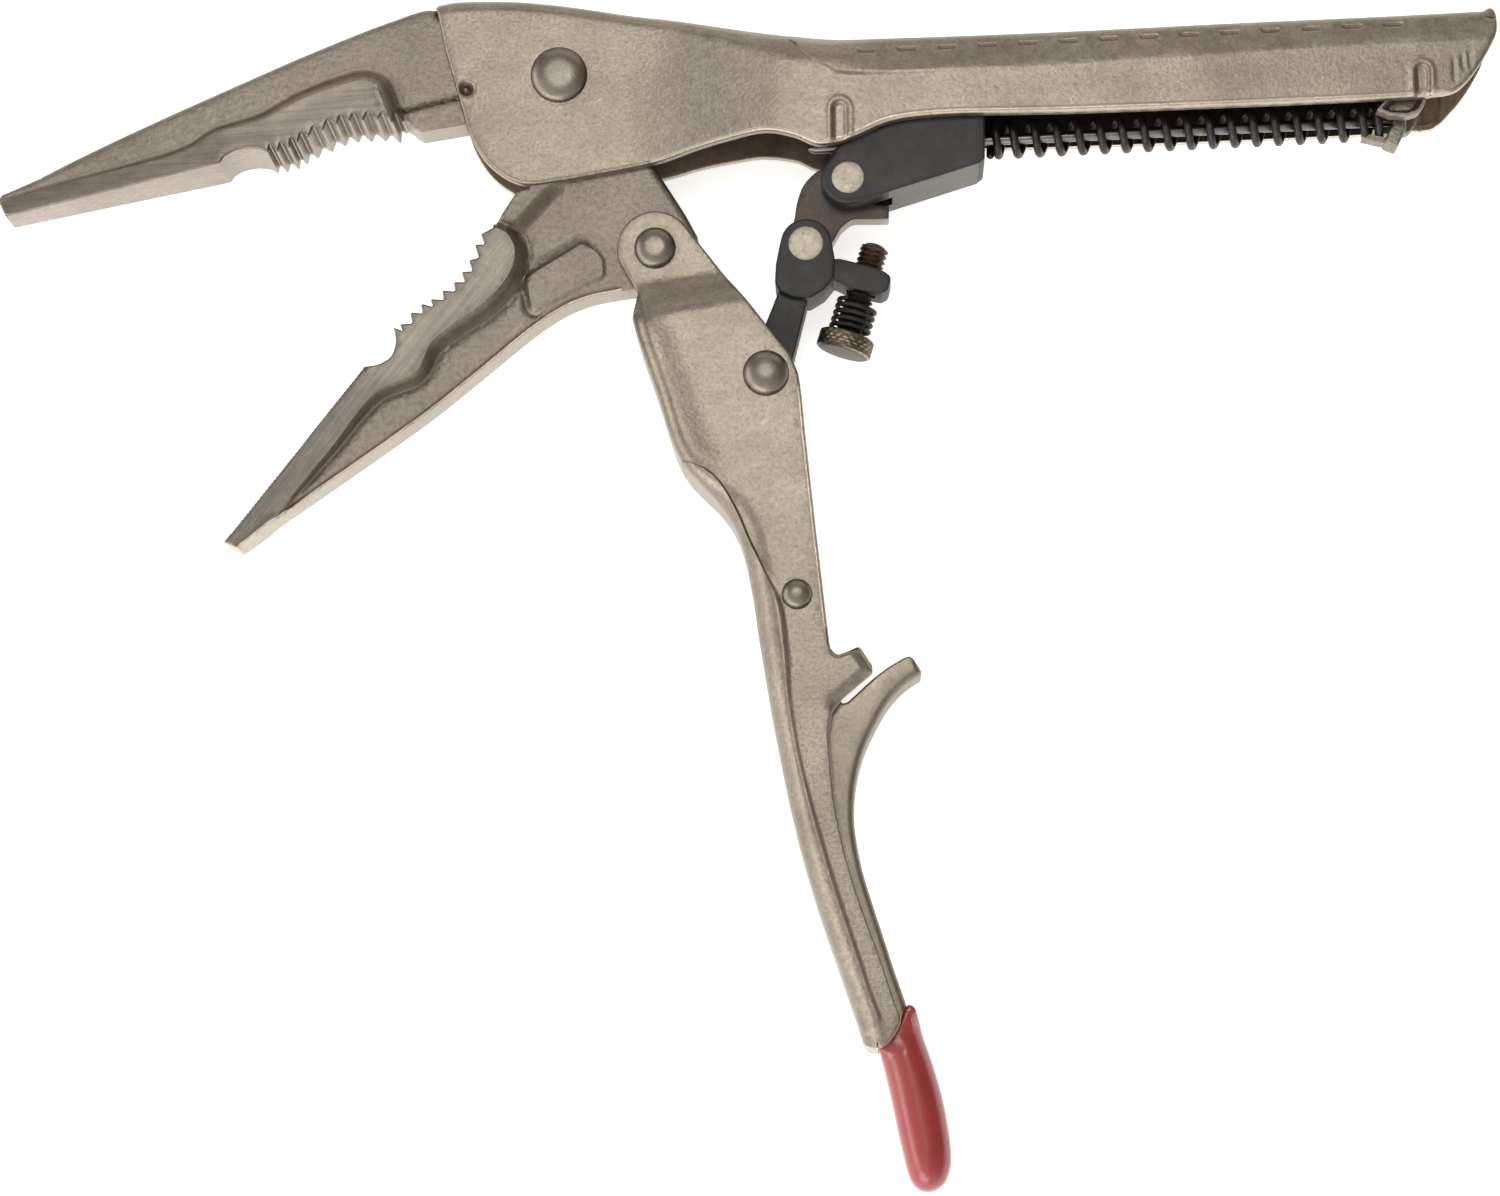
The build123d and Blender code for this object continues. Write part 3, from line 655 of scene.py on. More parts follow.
# painted shading: a softer tone than the crease shade, laid on crease slopes and fine grooves
SLOPE_SHADING = metal("nickel_slope_painted_shading", (0.200, 0.172, 0.140), (0.280, 0.246, 0.203), (0.45, 0.57), grain=1900, grain_s=0.5)
CAST = metal("cast_nickel", (0.168, 0.150, 0.127), (0.246, 0.225, 0.194), (0.42, 0.54), grain=1700, grain_d=0.00011,
             grain_s=1.0, pits=0.2, pit_scale=2600, mottle=800)
GROUND_U = metal("ground_upper", (0.132, 0.119, 0.104), (0.200, 0.183, 0.160), (0.32, 0.44), grain=5200, grain_s=0.2,
                 lines=(math.radians(4), 60, 2600), line_s=0.3)
GROUND_L = metal("ground_lower", (0.133, 0.121, 0.106), (0.198, 0.181, 0.160), (0.32, 0.44), grain=5200, grain_s=0.2,
                 lines=(math.radians(51.4), 60, 2600), line_s=0.3)
GRIPFACE = metal("grip_face", (0.228, 0.196, 0.168), (0.352, 0.314, 0.274), (0.34, 0.45), grain=1500, grain_d=0.00008, grain_s=0.8, pits=0.3,
                 pit_scale=2300, mottle=700)
RIVET = metal("rivet_nickel", (0.142, 0.129, 0.110), (0.189, 0.173, 0.149), (0.32, 0.42), grain=3800, grain_s=0.25, pits=0.15)
BLACK = metal("black_oxide", (0.010, 0.0098, 0.0096), (0.021, 0.0205, 0.020), (0.42, 0.58), metallic=0.4, grain=3400,
              grain_d=0.00003, grain_s=0.4)
# painted light: lighter black oxide for down-facing faces that catch the light from below
OXIDE_LIT = metal("oxide_painted_light", (0.085, 0.079, 0.071), (0.150, 0.141, 0.128), (0.45, 0.60), metallic=0.7, grain=2600)
BROWN = metal("brown_oxide", (0.045, 0.035, 0.029), (0.079, 0.065, 0.055), (0.42, 0.56), metallic=0.7, grain=3000)
PIN = metal("turned_pin", (0.24, 0.22, 0.186), (0.344, 0.32, 0.276), (0.40, 0.52), grain=1800, grain_d=0.00004,
            grain_s=0.5, pits=0.35, pit_scale=1700)
ROD = metal("rod_steel", (0.130, 0.125, 0.124), (0.190, 0.184, 0.182), (0.28, 0.38), grain=4200, grain_s=0.2)
# near-black wire: the screw spring's own colour, and painted shade on shaded parts of the main spring and screw shank
WIRE_DARK_AND_SHADE = metal("wire_brown_and_painted_shade", (0.010, 0.008, 0.007), (0.024, 0.019, 0.016), (0.46, 0.58), metallic=0.6, grain=3600)
SPRING = metal("spring_black", (0.018, 0.016, 0.016), (0.042, 0.038, 0.038), (0.34, 0.46), metallic=0.75, grain=3400,
               grain_s=0.3)
THREAD = metal("thread_brown", (0.050, 0.031, 0.020), (0.115, 0.074, 0.048), (0.36, 0.50), metallic=0.8, grain=3600)
KNURL = metal("knurled_head", (0.075, 0.059, 0.041), (0.150, 0.125, 0.092), (0.36, 0.5), grain=3200)
LEVER = metal("lever_nickel", (0.168, 0.150, 0.123), (0.222, 0.203, 0.170), (0.36, 0.46), grain=3000, grain_s=0.35, pits=0.2,
              pit_scale=2300)


def vinyl(name):
    m, nt, p = nodes_of(name)
    v = mapped(nt)
    big = noise(nt, v, 140, 3, 0.55)
    fine = noise(nt, v, 900, 3, 0.55)
    col = mix(nt, remap(nt, big, 0.3, 0.7), (0.180, 0.009, 0.010), (0.208, 0.012, 0.013))
    nt.links.new(col, p.inputs["Base Color"])
    nt.links.new(remap(nt, fine, 0.3, 0.7, 0.24, 0.34), p.inputs["Roughness"])
    p.inputs["Coat Weight"].default_value = 0.22
    p.inputs["Coat Roughness"].default_value = 0.16
    p.inputs["Specular IOR Level"].default_value = 0.55
    bump(nt, p, [(big, 0.0002, 0.25), (fine, 0.00003, 0.25)])
    return m


VINYL = vinyl("red_vinyl_skin")


# ------------------------------------------------------------------ pieces
def shade(me, angle):
    me.shade_smooth()
    me.set_sharp_from_angle(angle=math.radians(angle))


def make(name, data, mats, body, nodes=(), angle=38, pick=None):
    verts, faces, tags = data
    me = bpy.data.meshes.new(name)
    me.from_pydata(((verts + SHIFT) * MM).tolist(), [], faces)
    me.validate()
    for m in mats:
        me.materials.append(m)
    if len(mats) > 1:
        n = len(me.polygons)
        if pick is not None:
            cen = np.empty(n * 3)
            nor = np.empty(n * 3)
            me.polygons.foreach_get("center", cen)
            me.polygons.foreach_get("normal", nor)
            idx = pick(cen.reshape(-1, 3) / MM - SHIFT, nor.reshape(-1, 3), np.array(tags))
        else:
            idx = np.array(tags)
        me.polygons.foreach_set("material_index", np.asarray(idx, np.int32))
    shade(me, angle)
    me.update()
    ob = bpy.data.objects.new(name, me)
    bpy.context.scene.collection.objects.link(ob)
    if body:
        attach(ob, body)
    if nodes:
        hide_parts(*nodes)
    return ob


def tool(data):
    """Scratch solid for cutting and joining."""
    verts, faces, _ = data
    me = bpy.data.meshes.new("scratch")
    me.from_pydata(((verts + SHIFT) * MM).tolist(), [], faces)
    me.validate()
    ob = bpy.data.objects.new("scratch", me)
    bpy.context.scene.collection.objects.link(ob)
    return ob


def combine(name, base, steps, mat, body, nodes, angle=35, bevel=0.0, mats=None, pick=None):
    """Solids joined and cut, then made one clean mesh."""
    ob = tool(base)
    used = []
    for op, data in steps:
        t = tool(data)
        used.append(t)
        b = ob.modifiers.new(op, "BOOLEAN")
        b.operation = op
        b.solver = "EXACT"
        b.object = t
    if bevel:
        b = ob.modifiers.new("edge", "BEVEL")
        b.width = bevel * MM
        b.segments = 2
        b.limit_method = "ANGLE"
        b.angle_limit = math.radians(50)
    dg = bpy.context.evaluated_depsgraph_get()
    dg.update()
    me = bpy.data.meshes.new_from_object(ob.evaluated_get(dg))
    me.name = name
    for o in used + [ob]:
        old = o.data
        bpy.data.objects.remove(o)
        bpy.data.meshes.remove(old)
    me.materials.clear()
    for m in (mats or [mat]):
        me.materials.append(m)
    if pick is not None:
        n = len(me.polygons)
        cen = np.empty(n * 3)
        nor = np.empty(n * 3)
        me.polygons.foreach_get("center", cen)
        me.polygons.foreach_get("normal", nor)
        me.polygons.foreach_set("material_index",
                                np.asarray(pick(cen.reshape(-1, 3) / MM - SHIFT, nor.reshape(-1, 3)), np.int32))
    else:
        me.polygons.foreach_set("material_index", np.zeros(len(me.polygons), np.int32))
    shade(me, angle)
    out = bpy.data.objects.new(name, me)
    bpy.context.scene.collection.objects.link(out)
    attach(out, body)
    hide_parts(*nodes)
    return out


def prism(pts, z0, z1, r=0.0):
    p = ccw(rounded(pts, r) if r else arr(pts))
    n = len(p)
    verts = np.vstack([np.c_[p, np.full(n, z1)], np.c_[p, np.full(n, z0)]])
    faces = [tuple(range(n)), tuple(reversed(range(n, 2 * n)))]
    faces += [(i, i + n, (i + 1) % n + n, (i + 1) % n) for i in range(n)]
    return verts, faces, [0] * len(faces)


# ------------------------------------------------------------------ upper handle shell
UP_TOP = [(-38.6, 73.4), (-36.4, 73.85), (-34.19, 73.98), (-29.28, 73.93), (-24.36, 73.5), (-19.45, 72.8),
          (-14.54, 71.98), (-9.64, 71.27), (-4.74, 70.43), (0.15, 69.62), (5.04, 69.0), (9.92, 68.56), (14.8, 68.51),
          (24.55, 68.72), (39.17, 69.2), (58.63, 70.02), (78.06, 70.75), (88.9, 71.25)]
UP_REAR = [(88.9, 71.25), (90.0, 71.0), (90.42, 70.1), (90.35, 67.8), (89.1, 65.2), (87.75, 63.1), (86.4, 61.45),
           (85.2, 60.5), (83.9, 60.1)]
UP_LOW = [(83.9, 60.1), (80.2, 59.75), (74.9, 59.5), (60.42, 58.95), (38.54, 58.3), (21.92, 57.97), (17.1, 57.26),
          (11.78, 55.06), (8.4, 54.46), (5.6, 55.6), (2.0, 56.3), (-2.01, 55.64), (-5.92, 54.66), (-10.68, 53.13),
          (-18.08, 51.7), (-22.94, 50.86), (-27.67, 50.53), (-31.47, 52.82), (-33.95, 56.61), (-34.96, 59.77)]
UP_NOSE = [(-34.96, 59.77), (-37.13, 67.38), (-38.3, 72.7), (-38.6, 73.4)]
up_back = curve(UP_TOP, 0.6)
up_low = curve(UP_LOW, 0.45)
up_open = np.vstack([curve(UP_REAR, 0.4), up_low[1:], dense(UP_NOSE, 0.5)[1:]])
up_loop = join(up_back, up_open)


def up_w(p):
    return 4.1 + 2.7 * smooth((p[:, 0] + 16) / 25)


def up_r(p):
    return 1.8 + 2.5 * smooth((p[:, 0] + 12) / 22)


# line where the rolled back steps down to the flat wall
UP_CREASE = [(3.6, 70.0), (4.77, 68.16), (5.87, 67.02), (6.97, 65.8), (9.28, 64.25), (11.09, 63.4), (13.5, 63.21), (18.34, 63.29),
             (23.17, 63.49), (31.62, 63.75), (60.57, 65.41), (72.01, 66.06), (82.23, 66.46), (91.5, 66.85)]
up_crease = curve(UP_CREASE, 0.5)
up_band = np.vstack([up_crease, arr([(91.5, 74.0), (3.6, 74.0)])])
DASHES = [arr((14.24, 66.15)) + (arr((77.85, 68.83)) - arr((14.24, 66.15))) * k / 13 for k in range(14)]
DASH_ANG = math.atan2(68.83 - 66.15, 77.85 - 14.24)
BEAD_F = (11.05, 58.95, 1.0)
BEAD_R = (81.25, 63.0, 0.95)


def bead_u(p, b):
    """0 on a bead's middle line, 1 on its outline."""
    return np.hypot(p[:, 0] - b[0], np.maximum(p[:, 1] - b[1], 0)) / b[2]


def dash_loop(c, r):
    """Outline of a grip dash, r from its middle line."""
    u = arr((math.cos(DASH_ANG), math.sin(DASH_ANG))) * 0.85
    d = math.degrees(DASH_ANG)
    l = np.vstack([arc(c + u, r, d - 90, d + 90, 7), arc(c - u, r, d + 90, d + 270, 7)])
    return dense(np.vstack([l, l[:1]]), 0.45)


def dash_d(p, c):
    ca, sa = math.cos(DASH_ANG), math.sin(DASH_ANG)
    lx = (p[:, 0] - c[0]) * ca + (p[:, 1] - c[1]) * sa
    ly = -(p[:, 0] - c[0]) * sa + (p[:, 1] - c[1]) * ca
    return np.hypot(np.maximum(np.abs(lx) - 0.85, 0), ly)


def bead_line(b, k, y0):
    a = np.radians(np.linspace(180, 0, 15))
    top = np.c_[b[0] + k * b[2] * np.cos(a), b[1] + k * b[2] * np.sin(a)]
    return dense(np.vstack([[(b[0] - k * b[2], y0)], top, [(b[0] + k * b[2], y0)]]), 0.3)


def up_disp(p):
    x, y = p[:, 0], p[:, 1]
    d = np.zeros(len(p))
    db = dist(p, up_back, False)
    sc = signed(p, up_crease, up_band)
    on = smooth((x - 3.5) / 3.0)
    hw = 0.12 + 0.95 * smooth((x - 14) / 30)
    d += on * (0.30 * smooth((sc + hw) / (2 * hw)) - 0.22)
    # flat facet along the back
    r = up_r(p)
    roll = r - np.sqrt(np.maximum(r * r - np.maximum(r - db, 0) ** 2, 0))
    facet = roll - 0.20 * np.maximum(sc, 0) - 0.18 * smooth((sc + hw) / (2 * hw))
    d += np.where(sc > -1.2, smooth((x - 9) / 9) * smooth(db / 1.1) * facet, 0)
    # pressed beads at the slide's stop and at the anchor
    for b, dep in ((BEAD_F, 0.34), (BEAD_R, 0.34)):
        u = bead_u(p, b)
        d -= dep * smooth((1.0 - u) / 0.45)
        d += 0.10 * np.exp(-((u - 1.3) / 0.25) ** 2)
    # staking dent on the front edge
    rs = np.hypot(x + 34.5, y - 62.5)
    d -= 0.62 * np.exp(-((rs - 0.52) / 0.34) ** 2)
    # fine line above the rounded lower edge
    do = dist(p, up_low, False)
    d -= 0.09 * np.exp(-((do - 0.7) / 0.13) ** 2) * smooth((x - 16) / 3)
    # small grip dashes along the rolled back
    near = np.flatnonzero((db < 6.0) & (x > 9))
    if len(near):
        q = p[near]
        acc = np.zeros(len(near))
        for c in DASHES:
            acc = np.maximum(acc, smooth((0.28 - dash_d(q, c)) / 0.18))
        d[near] -= 0.15 * acc
    # a few small knocks by the rear edge
    for cx, cy, l in ((85.05, 62.9, 1.5), (86.1, 64.0, 0.9), (87.0, 64.2, 0.9)):
        d -= 0.12 * np.exp(-((x - cx) / 0.22) ** 2 - ((y - cy) / l) ** 4)
    return d


def up_far(p):
    x = p[:, 0]
    f = 1.15 * smooth((x - 18) / 8) * (1 - smooth((x - 83.2) / 3.2)) + 0.26 * smooth((x + 15) / 5) * (1 - smooth((x - 2) / 4))
    return f * smooth((dist(p, up_back, False) - 4) / 6)


nl = inward(up_low, up_loop)
nc = left(up_crease, False)
lowside = up_low[:, 0] > 14
up_lines = [off(up_crease[2:], nc[2:], o) for o in (0.12, -0.12, -0.36)]
up_lines += [off(up_low[lowside], nl[lowside], o) for o in (0.58, 0.82)]
up_lines += [bead_line(BEAD_F, k, 55.4) for k in (0.55, 0.8, 1.0)] + [bead_line(BEAD_R, k, 60.4) for k in (0.55, 0.8, 1.0)]
up_lines += [dash_loop(c, k) for c in DASHES for k in (0.28, 0.1)]
up_lines += [np.vstack([circle((-34.5, 62.5), k, 20), circle((-34.5, 62.5), k, 20)[:1]]) for k in (0.95, 0.52)]
up_extra = [patch(c, 1.7, 0.8, 0.3, DASH_ANG) for c in DASHES]
up_extra += [patch((11.1, 57.6), 2.2, 3.2, 0.22), patch((81.3, 62.0), 2.2, 2.8, 0.22), patch((-34.5, 62.5), 1.6, 1.6, 0.18),
             patch((86.0, 63.3), 2.0, 2.4, 0.2)]
up_data = shell(up_back, up_open, up_w, up_r, 1.5, edge=0.45, grid=1.0, extra=up_extra, disp=up_disp,
                holes=[circle(A, 2.52, 40)], lines=up_lines, free=[(up_crease, 0.6)], far=up_far)


def up_pick(c, n, t):
    q = c[:, :2]
    # inside faces (tag 1) take the lightened inside tone, painted light; sheet edges (tag 2) take the painted highlight
    idx = t.copy()
    out = t == 0
    do = dist(q, up_low, False)
    # painted highlight on the rounded lower edge, painted slope shading on the fine line above it
    idx[out & (do < 0.58) & (q[:, 0] > -12)] = 2
    idx[out & (do > 0.58) & (do < 0.82) & (q[:, 0] > 16)] = 5
    # painted shade in the bead outlines, the crease, the grip dashes and the staking dent
    for b in (BEAD_F, BEAD_R):
        u = bead_u(q, b)
        idx[out & (u > 0.8) & (u < 1.0) & (q[:, 1] > 55.4)] = 3
    sc = signed(q, up_crease, up_band)
    idx[out & (sc < 0.12) & (sc > -0.12) & (q[:, 0] > 5.0) & (q[:, 0] < 14)] = 3
    for c_ in DASHES:
        idx[out & (dash_d(q, c_) < 0.28)] = 3
    idx[out & (np.hypot(q[:, 0] + 34.5, q[:, 1] - 62.5) < 0.95)] = 3
    # painted shade on the inside faces along the spring channel
    idx[(t == 1) & (q[:, 0] > 13) & (q[:, 0] < 78.5)] = 4
    # painted highlight on the far wall's lower edge
    idx[(t > 0) & (c[:, 2] < -2.0) & (n[:, 1] < -0.5) & (dist(q + np.c_[np.zeros(len(q)), up_far(q)], up_low, False) < 0.7)] = 6
    return idx


make("handle_upper", up_data, [NICKEL, INSIDE_BROWN_LIT, RIM_HIGHLIGHT, CREASE_SHADE, INSIDE_SHADE, SLOPE_SHADING, EDGE_HIGHLIGHT], "upper_handle", ["upper_handle_shell"], angle=50,
     pick=up_pick)

# ------------------------------------------------------------------ upper jaw
UJ_TOP = [(-91.75, 49.3), (-91.3, 49.95), (-89.33, 50.9), (-83.27, 54.1), (-77.19, 57.08), (-71.1, 59.93), (-65.0, 62.68),
          (-58.89, 65.42), (-52.77, 68.08), (-46.65, 70.6), (-43.0, 71.95), (-41.2, 72.6), (-39.6, 73.0), (-38.4, 72.95)]
UJ_HID = [(-38.4, 72.95), (-37.9, 71.75), (-31.0, 71.75), (-31.0, 65.6), (-33.5, 58.8), (-34.8, 58.4), (-40.11, 57.5),
          (-40.9, 57.9), (-41.4, 58.45)]
UJ_TIPS = [(-42.3, 58.85), (-43.43, 58.18), (-45.28, 58.51), (-47.03, 58.42), (-48.68, 58.33), (-50.22, 57.92),
           (-51.86, 57.19), (-53.59, 56.35), (-54.92, 55.62), (-55.94, 54.99), (-57.37, 54.58), (-58.61, 54.44)]
UJ_NOTCH = [(-58.61, 54.44), (-59.23, 54.81), (-60.89, 55.03), (-62.53, 54.73), (-63.75, 54.1), (-64.35, 53.26)]
UJ_GRIP = [(-64.35, 53.26), (-90.75, 47.2)]
UJ_GROOVE = [(-91.6, 49.15), (-89.9, 49.6), (-87.26, 50.45), (-84.44, 51.25), (-79.28, 52.6), (-68.8, 55.79), (-65.59, 57.86), (-59.94, 59.7),
             (-55.11, 62.38), (-51.07, 64.03), (-47.02, 65.05), (-44.16, 63.97), (-42.9, 61.44), (-42.2, 58.9)]


def saw(tips, out, depth, flat=0.12):
    """Teeth with small flat tips between given tip points."""
    t = arr(tips)
    line = []
    for i, p in enumerate(t):
        a = t[max(i - 1, 0)]
        b = t[min(i + 1, len(t) - 1)]
        u = (b - a) / np.hypot(*(b - a))
        line.append(p - u * flat)
        line.append(p + u * flat)
        if i < len(t) - 1:
            m = (p + t[i + 1]) / 2 - arr(out) * depth
            line += [m - u * 0.08, m + u * 0.08]
    return np.array(line)


uj_groove = curve(UJ_GROOVE, 0.5)
uj_top = curve(UJ_TOP[1:], 0.6)
uj_teeth = saw(UJ_TIPS, (0.28, -0.96), 0.88)
uj_loop = join(dense([UJ_TOP[0], UJ_TOP[1]], 0.3), uj_top, dense(UJ_HID, 0.5), dense(uj_teeth, 0.25),
               curve(UJ_NOTCH, 0.3), dense(UJ_GRIP, 0.45), dense([(-90.75, 47.2), (-91.55, 48.8), (-91.75, 49.35)], 0.3))
uj_pad = np.vstack([uj_groove, arr([(-41.8, 58.0), (-42.0, 50.0), (-93.0, 40.0), (-93.0, 49.0)])])


UJ_W = ([-91.5, -80, -70, -60, -48, -44.5, -42.5], [0.25, 0.45, 0.95, 1.4, 1.75, 1.75, 1.5])
UJ_BLOCK = arr([(-42.9, 60.05), (-35.0, 61.95)])


def uj_h(p):
    x, y = p[:, 0], p[:, 1]
    w = np.interp(x, *UJ_W)
    sd = signed(p, uj_groove, uj_pad) - w
    pad = np.interp(x, [-91.5, -79, -64, -58, -42], [2.9, 3.65, 4.66, 4.85, 5.0])
    arm = np.interp(x, [-91.5, -84, -70, -55, -40], [2.75, 2.75, 2.95, 3.2, 3.2])
    h = arm + (pad - arm) * smooth((sd + w) / w)
    h -= 0.16 * smooth((x + 91) / 12) * np.exp(-((sd + w + 0.2) / 0.4) ** 2)
    h += 0.07 * smooth((x + 88) / 12) * np.exp(-((sd - 0.12) / 0.22) ** 2)
    # step down to the root block
    yb = 60.4 + (x + 41.45) * 0.2405
    h -= np.where(sd < 0, 0.45 * smooth((x + 43.0) / 0.9) * smooth((yb - y) / 0.4 + 0.5), 0)
    h -= np.where(sd < 0, 0.45 * smooth((x + 42.6) / 0.5) * np.exp(-((y - yb) / 0.3) ** 2), 0)
    return h


def uj_e(p):
    dt = dist(p, uj_top, False)
    return 0.28 + 0.75 * smooth((2.2 - dt) / 1.2) * smooth((p[:, 0] + 91.6) / 6)


nu = left(uj_groove, False)
wu = np.interp(uj_groove[:, 0], *UJ_W)
uj_lines = [off(uj_groove[3:], nu[3:], (wu * k + c)[3:]) for k, c in ((-1.0, 0.02), (-0.5, 0.0), (0.0, 0.0), (0.0, 0.26))]
uj_lines += [off(uj_groove[3:], nu[3:], (-wu - 0.35)[3:])]
nb_ = left(dense(UJ_BLOCK, 0.5), False)
uj_lines += [dense(UJ_BLOCK, 0.5) + nb_ * o for o in (-0.34, 0.0, 0.34)]
uj_extra = [off(uj_groove[3:], nu[3:], (wu * k + c)[3:]) for k, c in ((-0.25, 0), (-0.75, 0), (0.0, 0.55), (0.0, 0.9), (0.0, 1.3))]
uj_extra += [patch((-38.2, 60.6), 4.2, 2.2, 0.35)]
uj_data = plate([uj_loop], uj_h, uj_e, grid=0.85, rings=5, extra=uj_extra, lines=uj_lines,
                free=[(off(uj_groove, nu, -wu / 2), 1.0)])


def jaw_pick(pad_region, groove, grip_dirs, wf, shift, more):
    def pick(c, n, t):
        q = c[:, :2]
        idx = np.zeros(len(c), int)
        w = wf(q)
        sd = signed(q, groove, pad_region) - w * shift
        face = t == 0
        # pad keeps its ground finish; the slope down from it gets painted slope shading, the groove foot painted crease
        # shade
        idx[face & (sd > -0.02)] = 1
        idx[face & (sd < -0.02) & (sd > -w)] = 5
        idx[face & (sd < -w) & (sd > -w - 0.25)] = 3
        # side faces turned down towards the light: painted highlight
        side = t == 1
        idx[side & (n[:, 1] < -0.3)] = 4
        for gx, gy in grip_dirs:
            idx[side & (n[:, 0] * gx + n[:, 1] * gy > 0.55) & (sd > 0.3)] = 2
        more(idx, q, face, sd)
        return idx
    return pick


def uj_more(idx, q, face, sd):
    yb = 60.4 + (q[:, 0] + 41.45) * 0.2405
    # painted shade along the step to the root block
    idx[face & (np.abs(q[:, 1] - yb) < 0.35) & (q[:, 0] > -42.8) & (sd < 0)] = 3


make("jaw_upper", uj_data, [CAST, GROUND_U, GRIPFACE, CREASE_SHADE, RIM_HIGHLIGHT, SLOPE_SHADING], "upper_handle", ["upper_jaw"], angle=32,
     pick=jaw_pick(uj_pad, uj_groove, [(0.22, -0.975), (0.9, -0.4), (-0.5, -0.86)],
                   lambda q: np.interp(q[:, 0], *UJ_W), 1.0, uj_more))

# ------------------------------------------------------------------ lower jaw
LJ_TIPS = [(-42.85, 32.45), (-42.0, 32.85), (-40.75, 34.28), (-39.47, 35.34), (-38.32, 35.92), (-36.91, 36.98),
           (-35.53, 38.0), (-34.6, 39.25), (-33.75, 40.68), (-33.05, 42.6), (-32.35, 44.0)]
LJ_GROOVE = [(-60.6, 6.7), (-58.65, 8.18), (-50.75, 17.31), (-44.71, 24.73), (-40.12, 27.07), (-38.24, 30.61),
             (-35.56, 32.96), (-31.73, 35.7), (-28.87, 39.25), (-28.31, 42.03), (-29.3, 44.0), (-30.6, 44.7)]
LJ_LOW = [(-13.84, 37.65), (-16.53, 37.25), (-18.97, 36.76), (-21.41, 35.9), (-23.85, 34.54), (-26.29, 32.8),
          (-28.71, 30.81), (-33.56, 26.72), (-38.4, 22.76), (-43.24, 19.18), (-50.47, 14.01), (-57.69, 8.86), (-61.4, 5.98)]
lj_groove = curve(LJ_GROOVE, 0.5)
lj_low = curve(LJ_LOW, 0.6)
lj_teeth = saw(LJ_TIPS, (-0.80, 0.60), 0.85)
g0, g1 = arr((-63.17, 6.7)), arr((-46.35, 27.74))
gu = (g1 - g0) / np.hypot(*(g1 - g0))
gn = np.array((-gu[1], gu[0]))
fine_line = [g0]
gl = np.hypot(*(g1 - g0))
k = 1.2
while k < gl - 0.6:
    dep = 0.13 if k < 15.5 else 0.07
    fine_line += [g0 + gu * k, g0 + gu * (k + 0.26) - gn * dep]
    k += 0.52
fine_line.append(g1)
LJ_NOTCH = [(-46.35, 27.74), (-44.55, 28.05), (-43.2, 28.9), (-42.75, 29.83), (-42.62, 31.3), (-42.85, 32.45)]
LJ_UP = [(-32.35, 44.0), (-30.95, 44.8), (-30.85, 45.6), (-28.3, 49.65), (-26.71, 50.2), (-26.1, 52.0), (-28.9, 61.7)]
LJ_RIGHT = [(-17.6, 61.2), (-11.9, 53.7), (-11.25, 52.5), (-7.75, 47.0), (-6.3, 44.25)]
lj_loop = join(np.array(fine_line), curve(LJ_NOTCH, 0.3), dense(lj_teeth, 0.25), dense(LJ_UP, 0.5),
               arc(A, 6.3, 202.6, -27.5, 40), dense(LJ_RIGHT, 0.6), arc(B, 5.2, 12, -118, 26), lj_low,
               dense([(-61.4, 5.98), (-63.17, 6.7)], 0.3))
lj_pad = np.vstack([lj_groove, arr([(-31.2, 46.2), (-40.0, 48.0), (-70.0, 10.0), (-63.6, 5.6)])])
TABLET = rounded([(-27.24, 39.16), (-20.35, 43.4), (-18.6, 42.5), (-17.64, 41.18), (-17.55, 39.2), (-21.69, 37.19),
                  (-25.76, 34.87), (-26.5, 35.2)], 0.7, 0.3)
STEP = arr([(-28.9, 44.3), (-24.0, 49.8), (-22.5, 51.5)])
step_region = arr([(-28.9, 44.3), (-24.0, 49.8), (-22.5, 51.5), (-27.0, 55.0), (-36.0, 46.0), (-30.0, 43.0)])


LJ_W = ([0, 12, 22, 30, 45], [0.2, 0.28, 0.5, 0.95, 1.45])
TAB_TOP = dense([(-28.2, 38.55), (-20.2, 43.5)], 0.4)
TAB_LEFT = dense([(-27.4, 39.3), (-26.4, 35.0)], 0.4)


def lj_h(p):
    x, y = p[:, 0], p[:, 1]
    s_along = (p - g0) @ gu
    sd = signed(p, lj_groove, lj_pad)
    w = np.interp(s_along, *LJ_W)
    pad = np.interp(s_along, [0, 12, 27, 33, 50], [2.9, 3.65, 4.66, 4.85, 5.0])
    arm = np.interp(s_along, [0, 10, 30], [2.75, 2.62, 2.58])
    h = arm + (pad - arm) * smooth((sd + w) / w)
    h -= 0.18 * smooth(s_along / 8) * np.exp(-((sd + w + 0.25) / 0.35) ** 2)
    h += 0.07 * smooth(s_along / 8) * np.exp(-((sd - 0.12) / 0.22) ** 2)
    # thicker shoulder beside the pad
    st = signed(p, STEP, step_region)
    h += np.where(sd < 0, 0.85 * smooth((st + 0.95) / 1.9) * smooth((-sd - 0.9) / 0.9), 0)
    # raised tablet
    tb = np.where(inside(p, TABLET), 1, -1) * dist(p, TABLET)
    h += 0.30 * smooth((tb + 0.25) / 0.5)
    edge_tl = np.minimum(dist(p, TAB_TOP, False), dist(p, TAB_LEFT, False))
    h -= 0.40 * np.exp(-((tb + 0.52) / 0.42) ** 2) * smooth((1.9 - edge_tl) / 1.2) * smooth((-sd - 0.3) / 0.6)
    # line along the lower edge
    dl = dist(p, lj_low, False)
    h -= 0.12 * np.exp(-((dl - 0.4) / 0.17) ** 2) * smooth((-14.5 - x) / 2)
    return h


def lj_e(p):
    dr = dist(p, lj_right, False)
    return 0.26 + 0.75 * smooth((2.0 - dr) / 1.2)


